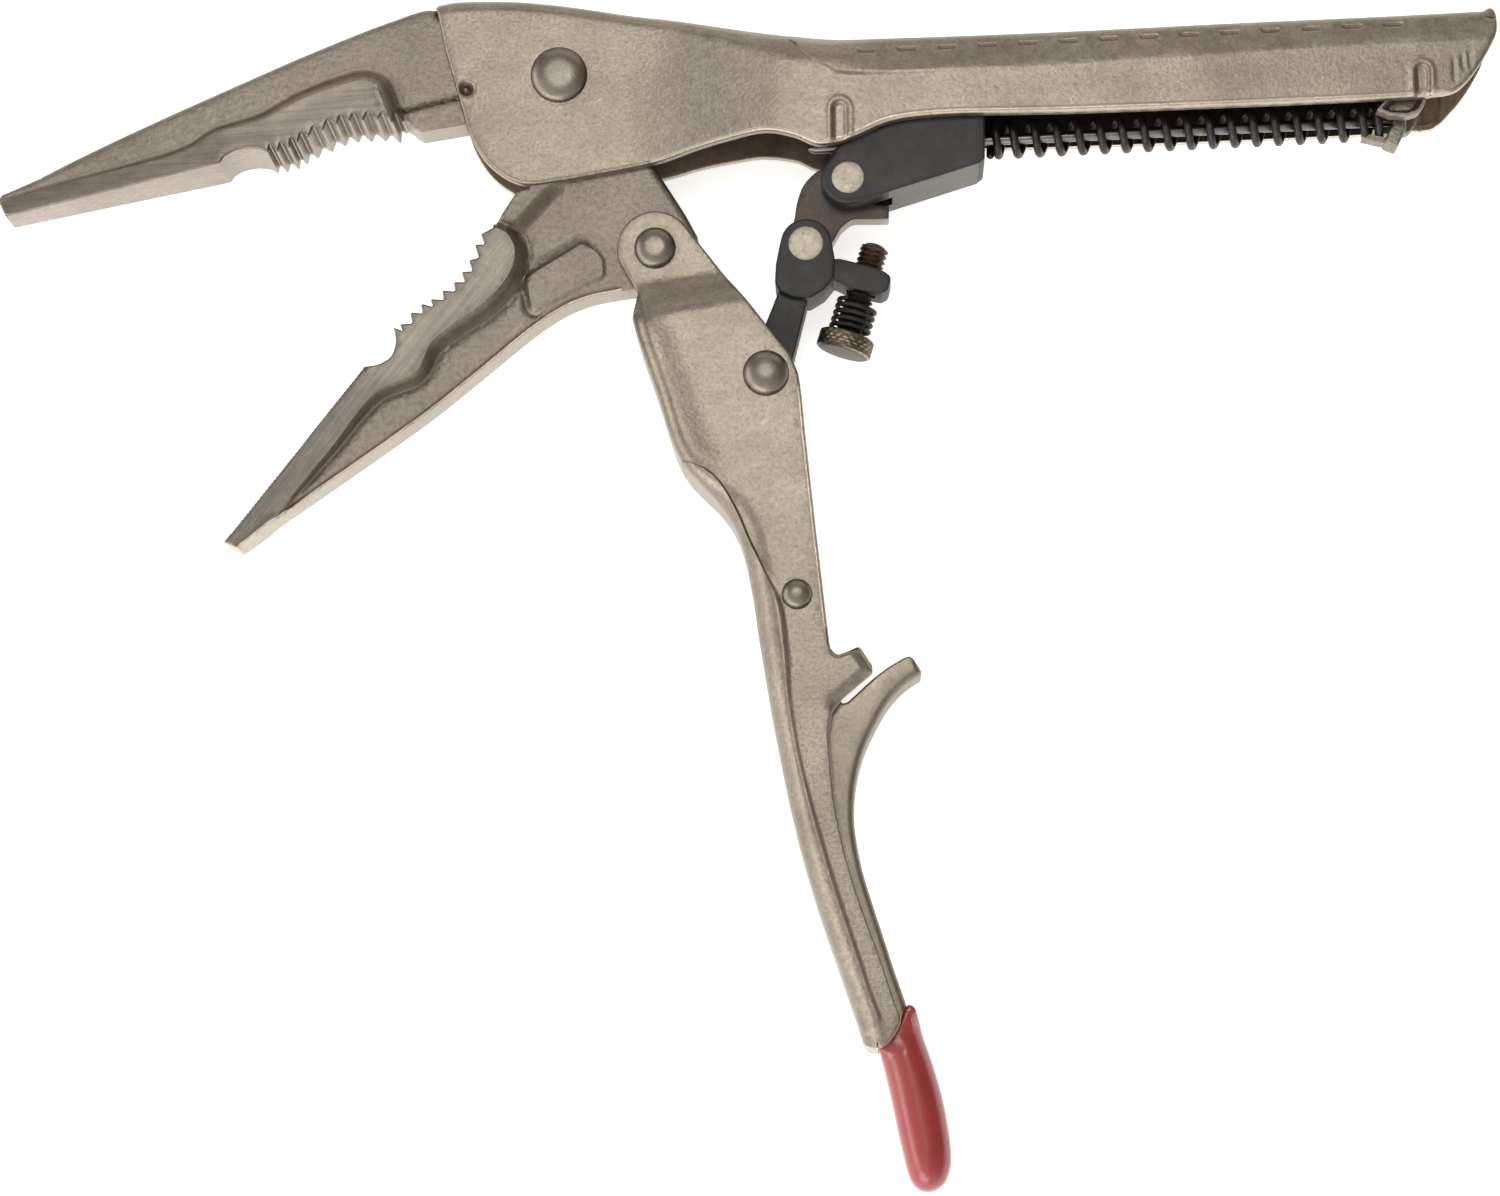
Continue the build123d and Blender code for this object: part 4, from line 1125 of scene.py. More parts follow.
lj_right = dense(LJ_RIGHT, 0.6)
nj = -left(lj_groove, False)
sj = (lj_groove - g0) @ gu
wj = np.interp(sj, *LJ_W)
lj_lines = [off(lj_groove[3:], nj[3:], (wj * k + c)[3:]) for k, c in ((0, 0.02), (0.5, 0.0), (1.0, 0.0), (1.0, 0.26))]
lj_lines += [off(lj_groove[3:], nj[3:], -0.35)]
nlj = inward(lj_low, lj_loop)
lj_lines += [off(lj_low, nlj, 0.24), off(lj_low, nlj, 0.54)]
lj_lines += [dense(STEP[:2], 0.4) + left(dense(STEP[:2], 0.4), False) * o for o in (-1.0, 0.95)]
lj_extra = [off(lj_groove[3:], nj[3:], (wj * k + c)[3:]) for k, c in ((0.25, 0), (0.75, 0), (1.0, 0.55), (1.0, 0.9), (1.0, 1.3))]
lj_extra += [rows(ccw(TABLET), (-1.3, -1.05, -0.8, -0.55, -0.35, -0.15, 0.0, 0.2, 0.4), True), rows(dense(STEP[:2], 0.4), (-0.6, -0.2, 0.2, 0.6)),
             patch((-28.0, 47.0), 2.5, 3.6, 0.3), off(lj_low, nlj, 0.4)]
lj_data = plate([lj_loop, circle(A, 2.56, 40), circle(B, 2.06, 36)], lj_h, lj_e, grid=0.85, rings=5, extra=lj_extra,
                lines=lj_lines, free=[(off(lj_groove, nj, wj / 2), 1.0)])


def lj_more(idx, q, face, sd):
    dl = dist(q, lj_low, False)
    # painted shade in the line along the lower edge, painted highlight on the bevel below it
    idx[face & (dl > 0.24) & (dl < 0.54) & (q[:, 0] < -15.5)] = 3
    idx[face & (dl <= 0.24) & (q[:, 0] < -15.5)] = 4
    # painted shade along the shoulder step
    st = signed(q, STEP, step_region)
    idx[face & (st > -1.0) & (st < 0.95) & (sd < -0.5) & (q[:, 1] > 44.5) & (q[:, 1] < 50.2)] = 3


make("jaw_lower", lj_data, [CAST, GROUND_L, GRIPFACE, CREASE_SHADE, RIM_HIGHLIGHT, SLOPE_SHADING], "lower_jaw", ["lower_jaw"], angle=32,
     pick=jaw_pick(lj_pad, lj_groove, [(-0.78, 0.62), (-0.95, -0.2), (0.3, 0.95), (-0.3, 0.95)],
                   lambda q: np.interp((q - g0) @ gu, *LJ_W), 0.0, lj_more))

# ------------------------------------------------------------------ lower handle shell
LOW_BACK = [(-14.05, 33.4), (-13.25, 30.3), (-12.49, 28.06), (-11.72, 25.82), (-10.98, 23.59), (-10.3, 21.35), (-9.62, 19.12),
            (-8.85, 17.1), (-7.72, 15.1), (-5.91, 13.0), (-3.8, 10.8), (-2.2, 8.5), (-1.15, 6.1), (-0.5, 3.75), (-0.05, 1.4),
            (0.36, -0.79), (0.96, -5.17), (1.67, -9.54), (2.39, -13.89), (3.2, -18.23), (4.05, -22.55), (4.99, -26.86),
            (6.05, -31.16), (7.28, -35.45), (8.64, -39.72), (10.1, -43.98), (11.56, -48.23), (12.9, -52.2), (13.3, -53.4)]
LOW_END = [(13.3, -53.4), (13.75, -53.85), (14.5, -54.12), (15.4, -54.1), (16.2, -53.6), (17.2, -52.3), (17.75, -50.8),
           (17.06, -48.65)]
LOW_FRONT = [(17.06, -48.65), (15.35, -43.42), (13.04, -36.98), (11.32, -31.11), (10.17, -25.22), (9.71, -20.48),
             (9.45, -16.9)]
LOW_TAB = [(9.45, -16.9), (9.85, -14.6), (11.15, -12.9), (14.8, -9.85), (13.08, -7.2), (10.15, -8.35),
           (9.6, -6.85), (7.91, 8.25), (6.75, 19.18), (6.35, 23.6), (5.95, 26.2), (4.95, 28.55), (-7.77, 45.11)]
low_back = curve(LOW_BACK[:1] + [(x + 0.12, y) for x, y in LOW_BACK[1:-1]] + LOW_BACK[-1:], 0.6)
tab = rounded(LOW_TAB, [0, 1.2, 1.5, 0.45, 0.45, 0.9, 1.0, 3, 3, 3, 3, 3, 0], 0.45, closed=False)
ear = arc(B, 4.6, math.degrees(math.atan2(45.11 - 42.23, -7.77 + 11.36)),
          math.degrees(math.atan2(40.6 - 42.23, -15.65 + 11.36)) % 360, 34)
neck = rounded([(-15.65, 40.6), (-14.6, 38.8), (-13.35, 36.6), (-14.05, 33.4)], [0, 2, 1.2, 0], 0.35, closed=False)
low_front = curve(LOW_FRONT, 0.5)
low_edge = dense(tab[(tab[:, 1] > -4.5) & (tab[:, 1] < 24.5)], 0.5)
low_open = np.vstack([curve(LOW_END, 0.3), low_front[1:], tab[1:], ear[1:], neck[1:]])
CREASE = [(-10.6, 15.75), (-8.6, 15.75), (-6.96, 15.37), (-5.0, 14.4), (-3.38, 12.9), (-1.4, 9.6), (0.19, 5.88), (2.2, 1.6),
          (3.74, -1.9), (4.45, -7.0), (4.9, -13.34), (6.07, -20.47), (9.55, -33.46), (13.01, -44.2), (14.45, -48.65),
          (15.15, -50.4), (15.2, -51.3), (14.6, -52.15), (13.2, -52.55), (12.0, -52.65)]
crease = curve(CREASE, 0.4)
crease_in = np.vstack([crease, arr([(4.0, -53.0), (-12.0, -10.0), (-16.0, 15.75)])])


def low_w(p):
    v = 0.17 * p[:, 0] - 0.9854 * p[:, 1]
    return 4.3 + 2.1 * smooth((v + 39.6) / 5.2) + 0.04 * np.clip(p[:, 1] - 42.2, -5, 5) * smooth((p[:, 1] - 36.5) / 3)


def low_r(p):
    return 3.2 - 1.5 * smooth((p[:, 1] - 9) / 6) * smooth((36 - p[:, 1]) / 4)


def low_disp(p):
    db = dist(p, low_back, False)
    y = p[:, 1]
    d = np.zeros(len(p))
    sd = signed(p, crease, crease_in)
    up = smooth((y - 13.0) / 3.5) * smooth((34.5 - y) / 4.0)
    # rolled back: proud of the wall, soft above and with a step below
    d += np.where(sd < 0, 0.38 * up * smooth((5.0 - db) / 3.8), 0)
    wc = 0.12 + 0.16 * smooth((4 - y) / 8)
    d += 0.38 * smooth((sd + wc) / (2 * wc))
    d -= 0.05 * np.exp(-((sd + 0.42) / 0.2) ** 2)
    # fine line beside the straight front edge
    dr = dist(p, low_edge, False)
    d -= 0.10 * np.exp(-((dr - 0.55) / 0.13) ** 2)
    # turned end of the tab
    dt = np.minimum(dist(p, TAB_END, False), 3)
    d -= 0.42 * (1 - smooth(dt / 1.35)) * (p[:, 0] > 9.0)
    return d


TAB_END = arr([(10.3, -13.7), (14.8, -9.85), (13.08, -7.2)])
ncr = left(crease, False)


def low_far(p):
    x, y = p[:, 0], p[:, 1]
    return -2.0 * smooth((x - 8.6) / 1.5) * smooth((y + 19) / 4) * smooth((-4.5 - y) / 2)


low_lines = [off(crease, ncr, o) for o in (-0.12, 0.12, 0.28)]
low_lines += [off(low_edge, inward(low_edge, join(low_back, low_open)), o) for o in (0.42, 0.68)]
low_lines += [off(crease, ncr, o) for o in (-0.42,)]
low_extra = [patch((13.0, -9.8), 3.4, 3.6, 0.28)]
jog = arr([(-16, 36.5), (3, 39.6)])
low_extra += [rows(dense(jog, 0.6), np.arange(-4.2, 3.0, 0.6))]
low_data = shell(low_back, low_open, low_w, low_r, 1.6, edge=0.32, grid=0.95, extra=low_extra, disp=low_disp,
                 holes=[circle(B, 2.02, 36), circle(C, 1.92, 36), circle(F, 1.32, 30)], lines=low_lines,
                 free=[(crease, 0.55)], far=low_far)


def low_pick(c, n, t):
    q = c[:, :2]
    # inside faces (tag 1) take the lightened inside tone, painted light; sheet edges (tag 2) take the painted highlight
    idx = t.copy()
    out = t == 0
    sd = signed(q, crease, crease_in)
    # crease: painted slope shading, with painted shade on its upper part
    idx[out & (sd < 0.12) & (sd > -0.28) & (dist(q, low_back, False) > 0.1)] = 4
    idx[out & (sd < 0.12) & (sd > -0.12) & (q[:, 1] > 4.0)] = 3
    # front edge: painted highlight on its rounding, painted slope shading on the fine line beside it
    dr = dist(q, low_edge, False)
    idx[out & (dr < 0.42)] = 2
    idx[out & (dr > 0.42) & (dr < 0.68)] = 4
    # sheet edges facing right: brighter painted highlight
    idx[(t == 2) & (n[:, 0] > 0.3)] = 5
    return idx


make("handle_lower", low_data, [NICKEL, INSIDE_BROWN_LIT, RIM_HIGHLIGHT, CREASE_SHADE, SLOPE_SHADING, EDGE_HIGHLIGHT], "lower_handle", ["lower_handle_shell"], angle=50,
     pick=low_pick)


# ------------------------------------------------------------------ rivets and pins
def rivet(name, c, shank, half, head, rise, flat, body, node):
    top = half + rise
    up = [(0, top), (flat * 0.5, top), (flat, top - 0.015)]
    n = 14
    for k in range(1, n + 1):
        a = math.pi / 2 * k / n
        up.append((flat + (head - flat) * math.sin(a), half + 0.12 + (rise - 0.135) * math.cos(a)))
    up += [(head, half + 0.04), (head - 0.06, half), (shank, half)]
    prof = up + [(r, -z) for r, z in reversed(up)]
    make(name, lathe(prof, (*c, 0.0), seg=72), [RIVET], body, [node], angle=50)


rivet("rivet_main", A, 2.5, 4.12, 3.45, 1.35, 1.1, "upper_handle", "main_pivot_rivet")
rivet("rivet_jaw", B, 2.0, 4.32, 2.5, 1.25, 0.8, "lower_handle", "jaw_handle_rivet")
rivet("rivet_toggle", C, 1.9, 6.42, 2.75, 1.55, 0.35, "lower_handle", "toggle_rivet")
rivet("rivet_lever", F, 1.3, 6.42, 1.8, 1.2, 0.25, "lower_handle", "lever_rivet")


def pin(name, c, r, half, body, node):
    up = [(0, half - 0.03), (r * 0.5, half - 0.02), (r - 0.16, half), (r - 0.05, half - 0.03), (r, half - 0.1)]
    prof = up + [(a, -z) for a, z in reversed(up)]
    make(name, lathe(prof, (*c, 0.0), seg=56), [PIN], body, [node], angle=40)


pin("pin_link", D, 2.13, 3.45, "toggle_link", "link_pin")
pin("pin_slide", E, 2.0, 4.85, "slide", "slide_pin")


def bush(z0, z1):
    prof = [(1.94, z0 + 0.1), (2.05, z0), (2.75, z0), (2.9, z0 + 0.15), (2.9, z1 - 0.15), (2.75, z1), (2.05, z1),
            (1.94, z1 - 0.1), (1.94, z0 + 0.1)]
    return lathe(prof, (*C, 0.0), seg=48)


b0, b1 = bush(2.25, 4.76), bush(-4.76, -2.25)
nb0 = len(b0[0])
make("bush_pair", (np.vstack([b0[0], b1[0]]), b0[1] + [tuple(i + nb0 for i in f) for f in b1[1]],
                   b0[2] + b1[2]), [ROD], "lower_handle", ["toggle_spacers"])

# ------------------------------------------------------------------ toggle link
T_HEAD = [(3.66, 42.7), (3.22, 40.43), (3.1, 38.2), (3.67, 37.0), (5.21, 36.3), (7.3, 36.1), (9.06, 37.2),
          (10.2, 38.6), (10.35, 41.0), (9.98, 43.2)]
T_ARM = [(3.8, 38.0), (-0.1, 27.0), (0.4, 24.4), (3.6, 23.6), (4.75, 25.3), (7.9, 36.9), (6.0, 39.0)]
T_BLOCK = [(8.6, 41.1), (11.0, 41.2), (14.5, 40.3), (16.3, 39.6), (17.2, 38.95), (16.8, 37.25), (15.95, 36.8),
           (12.17, 37.55), (10.6, 38.35), (8.6, 38.9)]
head_loop = join(arc(D, 3.08, 168, 10, 26), rounded(T_HEAD[::-1], [0, 0.5, 0.5, 0.7, 0.8, 0.8, 0.8, 0.6, 0.4, 0], 0.4,
                                                  closed=False))
steps = [
    ("UNION", plate([join(arc(C, 3.0, 190, 350, 26), dense([(4.35, 25.3), (7.2, 36.9), (6.0, 39.0), (3.8, 38.0),
                                                           (-0.5, 27.0)], 0.5))], 2.2, 0.22, grid=1.2)),
    ("UNION", plate([rounded(T_BLOCK, [0, 0.3, 0.3, 0.8, 0.9, 0.8, 0.6, 0.3, 0.3, 0], 0.4)], 2.7, 0.3, grid=1.0)),
    ("DIFFERENCE", prism(circle(D, 4.0, 40), -1.62, 1.62)),
    ("DIFFERENCE", prism([(0.0, 44.0), (14.0, 41.4), (14.0, 52.0), (0.0, 52.0)], -1.62, 1.62)),
    ("DIFFERENCE", lathe([(0, -8), (2.08, -8), (2.08, 8), (0, 8)], (*D, 0.0), seg=40)),
    ("DIFFERENCE", lathe([(0, -8), (1.96, -8), (1.96, 8), (0, 8)], (*C, 0.0), seg=40)),
    ("DIFFERENCE", lathe([(0, -14), (1.8, -14), (1.8, 3), (0, 3)], SCREW_O, SCREW_D, seg=40)),
]
# down-facing faces of the block take the lighter oxide, painted light
combine("link_toggle", plate([head_loop], 3.4, 0.3, grid=1.0), steps, BLACK, "toggle_link", ["toggle_link"],
        mats=[BLACK, OXIDE_LIT], pick=lambda c, n: (n[:, 1] < -0.3) & (c[:, 1] < 40.5) & (c[:, 0] > 6.8) & (c[:, 0] < 12.5) & (np.abs(n[:, 2]) < 0.5))

# ------------------------------------------------------------------ lock link
K_LEFT = [(4.3, 43.7), (5.35, 46.1), (5.75, 48.45), (6.6, 50.75), (8.4, 52.55), (9.70, 52.95)]
K_RIGHT = [(14.75, 49.7), (15.2, 48.2), (16.94, 48.13), (16.93, 46.4), (12.4, 46.4), (11.1, 45.3), (9.9, 43.2)]
k_loop = join(arc(D, 3.05, 0, -180, 26), curve(K_LEFT, 0.4), arc(E, 2.95, 135, -20, 22),
              rounded(K_RIGHT, [0, 0.4, 0.25, 0.25, 1.6, 1.6, 0], 0.35, closed=False))
steps = [("DIFFERENCE", prism([(2.0, 44.8), (5.35, 44.8), (6.55, 48.0), (7.75, 50.1), (9.5, 51.7), (10.6, 53.1),
                               (10.6, 58.0), (2.0, 58.0)], -0.8, 0.8)),
         ("DIFFERENCE", lathe([(0, -8), (2.18, -8), (2.18, 8), (0, 8)], (*D, 0.0), seg=40)),
         ("DIFFERENCE", lathe([(0, -8), (2.05, -8), (2.05, 8), (0, 8)], (*E, 0.0), seg=40))]
# down-facing faces on the tail: painted highlight
combine("link_lock", plate([k_loop], 1.5, 0.16, grid=1.0), steps, BROWN, "lock_link", ["lock_link"],
        mats=[BROWN, RIM_HIGHLIGHT], pick=lambda c, n: (n[:, 1] < -0.45) & (np.abs(n[:, 2]) < 0.4) & (c[:, 0] > 9.0))

# ------------------------------------------------------------------ slide block
s_loop = join(arc(E, 3.3, 150, 285, 30), curve([(12.85, 47.57), (13.9, 47.78), (15.4, 48.35), (16.9, 48.9)], 0.4),
              rounded([(16.9, 48.9), (27.75, 52.35), (28.55, 53.0), (28.6, 63.0), (12.85, 62.35), (12.75, 55.9),
                       (10.5, 54.5), (9.13, 52.41)], [0, 0.4, 0.5, 0.6, 0.4, 0.5, 1.5, 0], 0.5, closed=False))


def slide_e(p):
    return 0.28 + 0.42 * smooth((16.5 - p[:, 0]) / 3.0) * smooth((55.5 - p[:, 1]) / 2.0)


rod_u, rod_v = ROD_D, np.array((-ROD_D[1], ROD_D[0], 0.0))


def slot_bar():
    """Tall round-ended bar along the rod, to cut the guide."""
    sec = np.vstack([arc((1.025, 0), 0.67, -90, 90, 14), arc((-0.125, 0), 0.67, 90, 270, 14)])
    n = len(sec)
    verts = []
    for s in (-6.0, 36.0):
        for a, b in sec:
            verts.append(ROD_O + ROD_D * s + rod_v * a + np.array((0, 0, b)))
    faces = [tuple(range(n)), tuple(reversed(range(n, 2 * n)))]
    faces += [(i, i + n, (i + 1) % n + n, (i + 1) % n) for i in range(n)]
    return np.array(verts), faces, [0] * len(faces)


steps = [("DIFFERENCE", prism(join(arc(E, 7.3, 60, 300, 50), [(12.0, 44.5), (17.35, 44.5), (17.35, 55.0)]), -1.62, 1.62)),
         ("DIFFERENCE", prism([(4.0, 40.0), (17.35, 40.0), (17.35, 50.5), (4.0, 50.5)], -1.62, 1.62)),
         ("DIFFERENCE", lathe([(0, -8), (1.96, -8), (1.96, 8), (0, 8)], (*E, 0.0), seg=40)),
         ("DIFFERENCE", slot_bar())]
# the sloped bottom face takes the lighter oxide, painted light
combine("slide", plate([s_loop], 4.8, slide_e, grid=1.0), steps, BLACK, "slide", ["slide_block"],
        mats=[BLACK, OXIDE_LIT], pick=lambda c, n: (n[:, 0] * 0.3 - n[:, 1] * 0.954 > 0.93) & (c[:, 0] > 16.9))

# ------------------------------------------------------------------ guide rod and main spring
make("rod_guide", lathe([(0, 0), (0.22, 0.0), (0.5, 0.35), (0.66, 0.8), (0.66, 72.6), (0.5, 72.9), (0, 73.0)],
                        ROD_O, ROD_D, seg=24), [ROD], "upper_handle", ["guide_rod"])
WIRE = 0.5
# back half of the coils, shaded inside the channel: painted shade with the dark wire material
ms = make("spring_main", tube(helix(ROD_O, ROD_D, 2.42 - WIRE, 21.75 + WIRE, 70.4 - WIRE, 19.2, 1.0, WIRE, 30, 0.6, 0.55),
                              WIRE, 12), [SPRING, WIRE_DARK_AND_SHADE], "upper_handle", ["main_spring"],
          pick=lambda c, n, t: (c[:, 2] < -0.15).astype(int))
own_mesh(ms)

# ------------------------------------------------------------------ spring anchor
CUP = [(75.75, 58.55), (77.41, 57.85), (79.37, 57.72), (80.85, 58.1), (81.7, 59.4), (82.0, 61.0), (78.0, 61.0), (77.0, 59.9)]
cup_loop = rounded(CUP, [0.2, 1.2, 2, 1.2, 1.2, 0.5, 0.4, 0.8], 0.25)


def cup_h(p):
    d = dist(p, cup_loop)
    return 5.2 - 1.2 * smooth((d - 0.32) / 0.7)


cup_lines = [np.vstack([q, q[:1]]) for q in (ccw(cup_loop) + left(ccw(cup_loop)) * 0.32,)]
ears = [plate([cup_loop], cup_h, 0.15, grid=0.4, lines=cup_lines, bot=lambda q: np.full(len(q), 3.0))]
ears.append((ears[0][0] * arr((1, 1, -1)), [tuple(reversed(q)) for q in ears[0][1]], ears[0][2]))
steps = [("UNION", ears[1]),
         ("UNION", prism([(77.9, 59.7), (80.6, 59.75), (80.6, 60.75), (77.9, 60.7)], -4.6, 4.6)),
         ("UNION", plate([rounded([(78.15, 60.4), (78.2, 57.6), (77.85, 57.3), (77.05, 55.5), (78.65, 54.85), (79.75, 57.1),
                                   (79.7, 60.4)], [0, 0.4, 0.4, 0.35, 0.35, 0.5, 0], 0.3)], 1.9, 0.3, grid=0.6)),
         ("UNION", prism([(74.45, 56.2), (77.5, 55.45), (77.9, 56.1), (74.65, 56.75)], -1.1, 1.1)),
         ("DIFFERENCE", lathe([(0, 60), (0.70, 60), (0.70, 76), (0, 76)], ROD_O, ROD_D, seg=24))]
combine("anchor", ears[0], steps, CAST, "upper_handle", ["spring_anchor"])

# ------------------------------------------------------------------ adjusting screw
PITCH = 0.66


def thread_rf(h, a, r):
    if r < 1.2 or h < -11.75 or h > -0.45:
        return 0.0
    ph = (h / PITCH - a / (2 * math.pi)) % 1.0
    t = abs(2 * ph - 1)
    depth = 0.34 * min(1.0, (-0.3 - h) / 0.6)
    return -depth * (1 - min(1.0, max(0.0, (t - 0.08) / 0.84)))


def knurl_rf(h, a, r):
    if r < 3.2:
        return 0.0
    u = a * 22 / (2 * math.pi)
    v = (h + 13.05) / 0.9
    p1 = abs(((u + v) % 1.0) * 2 - 1)
    p2 = abs(((u - v) % 1.0) * 2 - 1)
    return -0.16 * max(0.0, 1 - 1.6 * min(p1, p2))


prof = [(0, -14.1), (2.6, -14.1), (3.05, -14.05)]
prof += [(3.4, -13.88 + 1.86 * k / 18) for k in range(19)]
prof += [(3.12, -11.84), (2.9, -11.8), (1.78, -11.8)]
k = -11.74
while k < -0.5:
    prof.append((1.75, k))
    k += PITCH / 8
prof += [(1.38, -0.42), (1.2, -0.2), (0.85, -0.06), (0.4, -0.01), (0, 0)]
sd_data = lathe(prof, SCREW_O, SCREW_D, seg=88, rf=lambda h, a, r: knurl_rf(h, a, r) if h < -11.79 else thread_rf(h, a, r))


def screw_pick(c, n, t):
    s = (c - SCREW_O) @ SCREW_D
    # shank between head and block: painted shade with the dark wire material; head chamfer facing the light: painted
    # highlight
    return np.where(s < -11.79, np.where((n @ SCREW_D < -0.3) & (n @ SCREW_D > -0.97), 3, 1), np.where(s < -6.4, 2, 0))


make("screw", sd_data, [THREAD, KNURL, WIRE_DARK_AND_SHADE, RIM_HIGHLIGHT], "thumb_screw", ["adjusting_screw"], angle=45, pick=screw_pick)
SW = 0.29
ss = make("spring_screw", tube(helix(SCREW_O, SCREW_D, 2.6 - SW, -11.75 + SW, -7.5 - SW, 4.6, 0.5, SW, 30, 0.3), SW, 10),
          [WIRE_DARK_AND_SHADE], "screw_carriage", ["screw_spring"])
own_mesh(ss)

# ------------------------------------------------------------------ release lever and its dipped tail
LEV_OUT = [(11.15, -13.35), (11.7, -13.2), (15.53, -9.75), (18.39, -7.92), (18.98, -7.72), (19.4, -7.95), (20.42, -9.45), (20.4, -9.8),
           (19.9, -10.1), (18.48, -11.1), (17.0, -12.6), (16.0, -14.0), (14.95, -15.9), (14.0, -17.85), (13.25, -19.9),
           (12.75, -22.0), (12.45, -24.1), (12.35, -26.27), (12.45, -28.17), (12.71, -30.07), (13.06, -31.96), (13.52, -33.86),
           (14.68, -37.64), (15.9, -41.41), (17.1, -45.17), (18.37, -48.91), (19.0, -51.6)]
LEV_IN = [(16.3, -52.6), (13.9, -45.1), (11.65, -35.5), (9.1, -27.1), (7.0, -18.8), (5.7, -10.4), (4.0, -2.2),
          (4.1, 1.2), (4.5, 6.4), (6.2, 6.4), (7.6, 1.0), (8.2, -6.4), (8.9, -11.6)]
BLADE = [(16.35, -52.5), (18.95, -51.4), (20.3, -56.5), (21.1, -62.0), (21.1, -66.5), (20.4, -68.3), (19.7, -67.8),
         (18.7, -62.0), (17.2, -55.0)]
LEV_HOLLOW = [(2.0, 3.0), (6.4, 2.0), (6.9, -6.0), (7.4, -12.2), (9.0, -14.3), (12.4, -13.9), (13.1, -15.6),
              (11.6, -20.0), (10.5, -25.6), (10.3, -27.6), (6.0, -27.6), (2.0, -8.0)]
lev_right = curve(LEV_OUT[4:], 0.4)
lev_loop = join(dense([LEV_OUT[0], LEV_OUT[1]], 0.5), curve(LEV_OUT[1:5], 0.4), lev_right,
                dense([LEV_OUT[-1], LEV_IN[0]], 0.5), curve(LEV_IN[:7], 0.6), dense(LEV_IN[6:], 0.6),
                dense([LEV_IN[-1], LEV_OUT[0]], 0.5))


def lev_e(p):
    return 0.30 + 0.5 * smooth((1.9 - dist(p, lev_right[8:], False)) / 1.2)


steps = [("UNION", prism(BLADE, -2.4, 2.4, 0.4)),
         ("DIFFERENCE", prism(LEV_HOLLOW, -2.4, 2.4)),
         ("UNION", prism([(4.5, 6.4), (6.2, 6.4), (6.9, 2.5), (4.2, 2.5)], -1.4, 1.4)),
         ("DIFFERENCE", lathe([(0, -8), (1.36, -8), (1.36, 8), (0, 8)], (*F, 0.0), seg=36))]
combine("lever", plate([lev_loop], 3.8, lev_e, grid=1.0, rings=5), steps, LEVER, "release_lever", ["release_lever"])

GRIP = [(15.2, -54.2), (16.3, -58.72), (17.52, -64.55), (18.4, -68.3), (18.68, -69.1), (19.2, -69.95), (19.95, -70.5), (20.82, -70.66),
        (21.95, -70.36), (22.9, -69.5), (23.45, -68.04), (23.6, -66.3), (23.2, -62.81), (22.5, -59.32), (21.38, -55.46),
        (20.48, -52.88), (19.75, -50.2), (19.35, -49.3), (18.75, -49.0), (18.25, -49.35), (17.75, -50.6), (17.0, -52.1),
        (15.9, -53.3), (15.25, -53.75)]
grip_loop = join(curve(GRIP + GRIP[:1], 0.35))
rim_line = arr([(15.1, -54.0), (15.9, -53.3), (17.0, -52.1), (17.75, -50.6), (18.3, -49.3), (19.3, -49.2)])


def grip_e(p):
    return 0.4 + 2.5 * smooth((dist(p, rim_line, False) - 0.1) / 2.0)


def grip_h(p):
    return 4.1 + 0.12 * np.exp(-((dist(p, rim_line, False) - 0.7) / 0.5) ** 2) - 0.35 * smooth((-66.0 - p[:, 1]) / 5.0)


make("lever_tip", plate([grip_loop], grip_h, grip_e, grid=0.7, rings=8), [VINYL], "release_lever", ["lever_grip"],
     angle=60)


# ------------------------------------------------------------------ floor, light, camera
def floor_mat():
    m, nt, p = nodes_of("pale_floor_glowing")
    v = mapped(nt)
    n = noise(nt, v, 6.0, 3, 0.5)
    nt.links.new(mix(nt, n, (0.90, 0.90, 0.895), (0.94, 0.94, 0.935)), p.inputs["Base Color"])
    nt.links.new(remap(nt, n, 0.3, 0.7, 0.65, 0.75), p.inputs["Roughness"])
    p.inputs["Specular IOR Level"].default_value = 0.2
    # the floor glows, lifting the shadows on it and lighting the tool's undersides: painted light
    p.inputs["Emission Color"].default_value = (1.0, 0.99, 0.975, 1.0)
    p.inputs["Emission Strength"].default_value = 0.62
    return m


me = bpy.data.meshes.new("floor")
g = 3.0
me.from_pydata([(-g, -g, 0), (g, -g, 0), (g, g, 0), (-g, g, 0)], [], [(0, 1, 2, 3)])
me.materials.append(floor_mat())
floor = bpy.data.objects.new("floor", me)
floor.location.z = -0.0002
bpy.context.scene.collection.objects.link(floor)


def area(name, loc, target, size, power, col=(1, 1, 1)):
    l = bpy.data.lights.new(name, "AREA")
    l.shape = "RECTANGLE"
    l.size, l.size_y = size
    l.energy = power
    l.color = col
    o = bpy.data.objects.new(name, l)
    o.location = loc
    o.rotation_euler = (Vector(target) - Vector(loc)).to_track_quat("-Z", "Y").to_euler()
    bpy.context.scene.collection.objects.link(o)


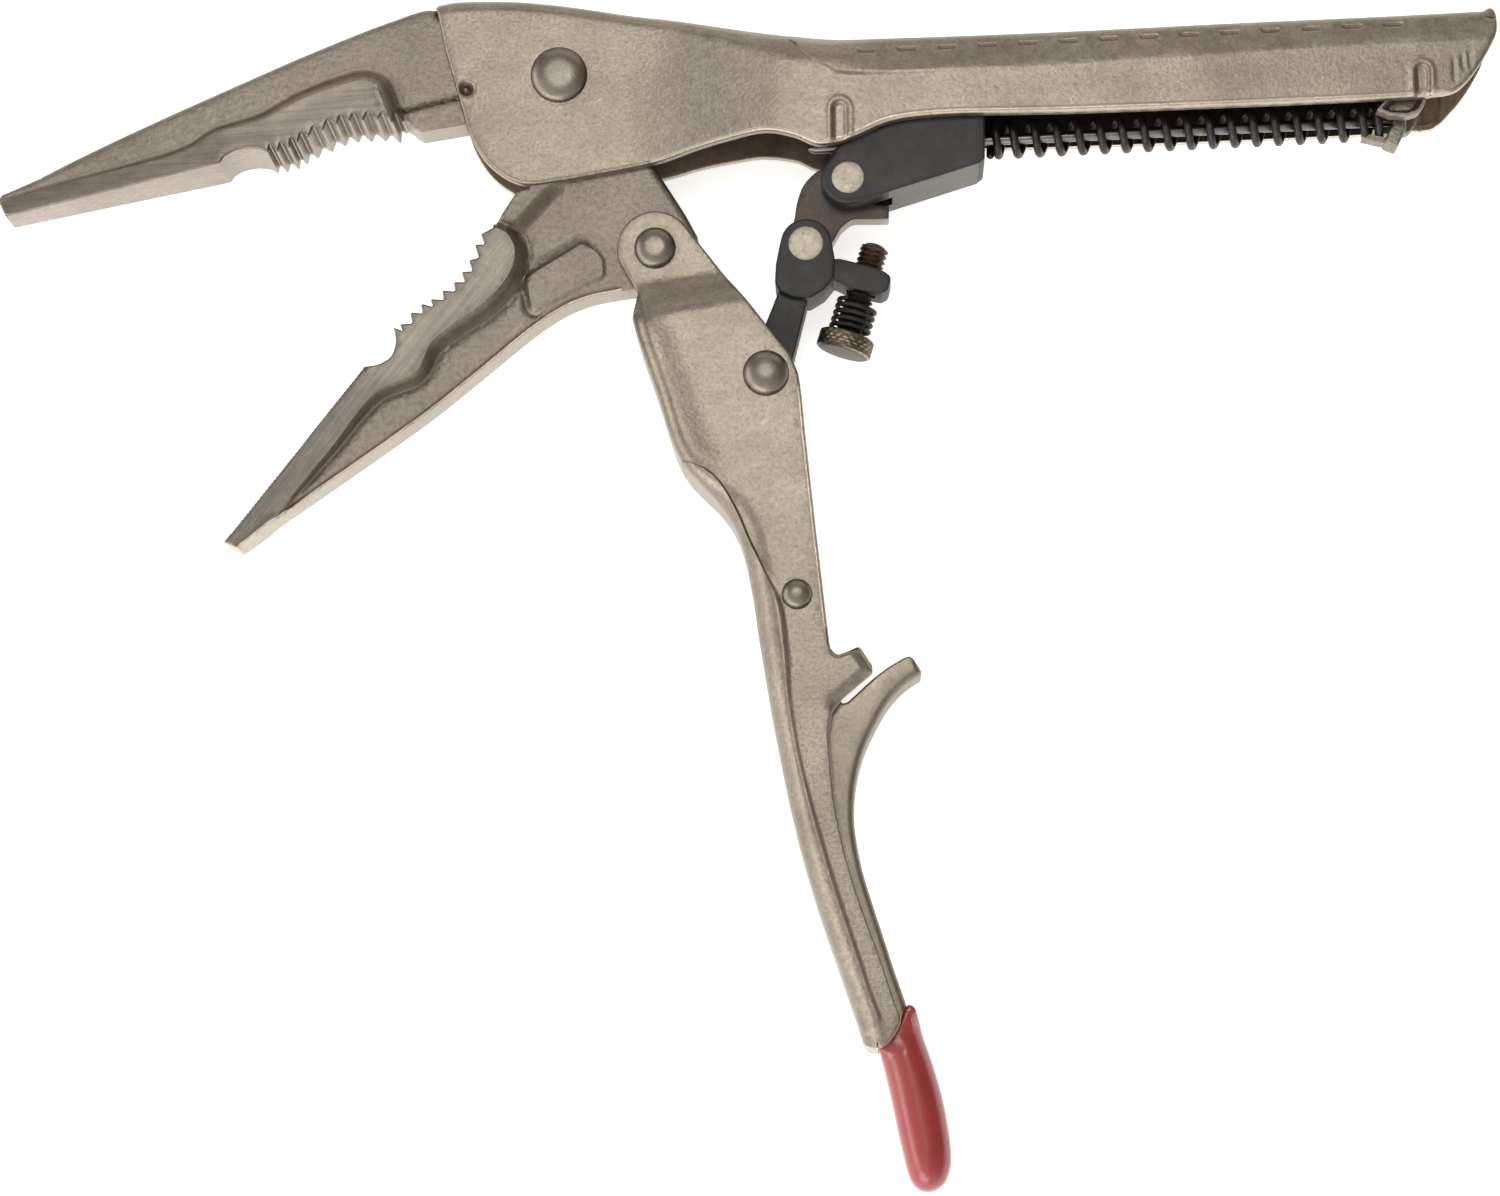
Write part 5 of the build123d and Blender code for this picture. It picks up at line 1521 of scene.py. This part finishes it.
area("top", (-0.03, 0.26, 1.0), (0, 0.02, 0), (0.32, 0.30), 3.0, (1.0, 0.985, 0.955))
area("left", (-0.85, 0.0, 0.36), (0, 0, 0.01), (0.9, 0.4), 3.6, (1.0, 0.97, 0.935))
area("key", (-0.45, -0.95, 0.42), (0, 0, 0), (1.2, 0.6), 9.0, (1.0, 0.965, 0.93))
area("back", (0.10, 0.90, 0.42), (0, 0, 0), (1.2, 0.5), 2.4, (1.0, 0.97, 0.935))

world = bpy.data.worlds.new("studio")
bpy.context.scene.world = world
world.use_nodes = True
wn = world.node_tree
bg = wn.nodes["Background"]
tc = wn.nodes.new("ShaderNodeTexCoord")
dot = wn.nodes.new("ShaderNodeVectorMath")
dot.operation = "DOT_PRODUCT"
dot.inputs[1].default_value = (0.42, 0.90, 0.0)
wn.links.new(tc.outputs["Generated"], dot.inputs[0])
cr = ramp(wn, remap(wn, dot.outputs["Value"], -1.0, 1.0), [(0.0, (1.0, 0.965, 0.93)), (0.30, (0.90, 0.88, 0.85)),
                                                           (0.50, (0.50, 0.488, 0.468)), (0.68, (0.335, 0.31, 0.28)),
                                                           (0.85, (0.245, 0.219, 0.190)), (1.0, (0.30, 0.268, 0.232))])
wn.links.new(cr, bg.inputs["Color"])
bg.inputs["Strength"].default_value = 1.55

cam = bpy.data.cameras.new("camera")
cam.sensor_fit = "HORIZONTAL"
cam.sensor_width = 36.0
cam.lens = 98.4
cam.clip_start, cam.clip_end = 0.01, 20.0
co = bpy.data.objects.new("camera", cam)
cx, cy, cz = arr((0.99957, 0.0, -0.029306)), arr((0.005007, 0.985294, 0.170791)), arr((0.028875, -0.170865, 0.984871))
m = Matrix.Identity(4)
for i in range(3):
    m[i][0], m[i][1], m[i][2] = cx[i], cy[i], cz[i]
m[0][3], m[1][3], m[2][3] = 0.0145835, -0.0855203, 0.4925457
co.matrix_world = m
bpy.context.scene.collection.objects.link(co)
bpy.context.scene.camera = co
bpy.context.scene.view_settings.view_transform = "Standard"
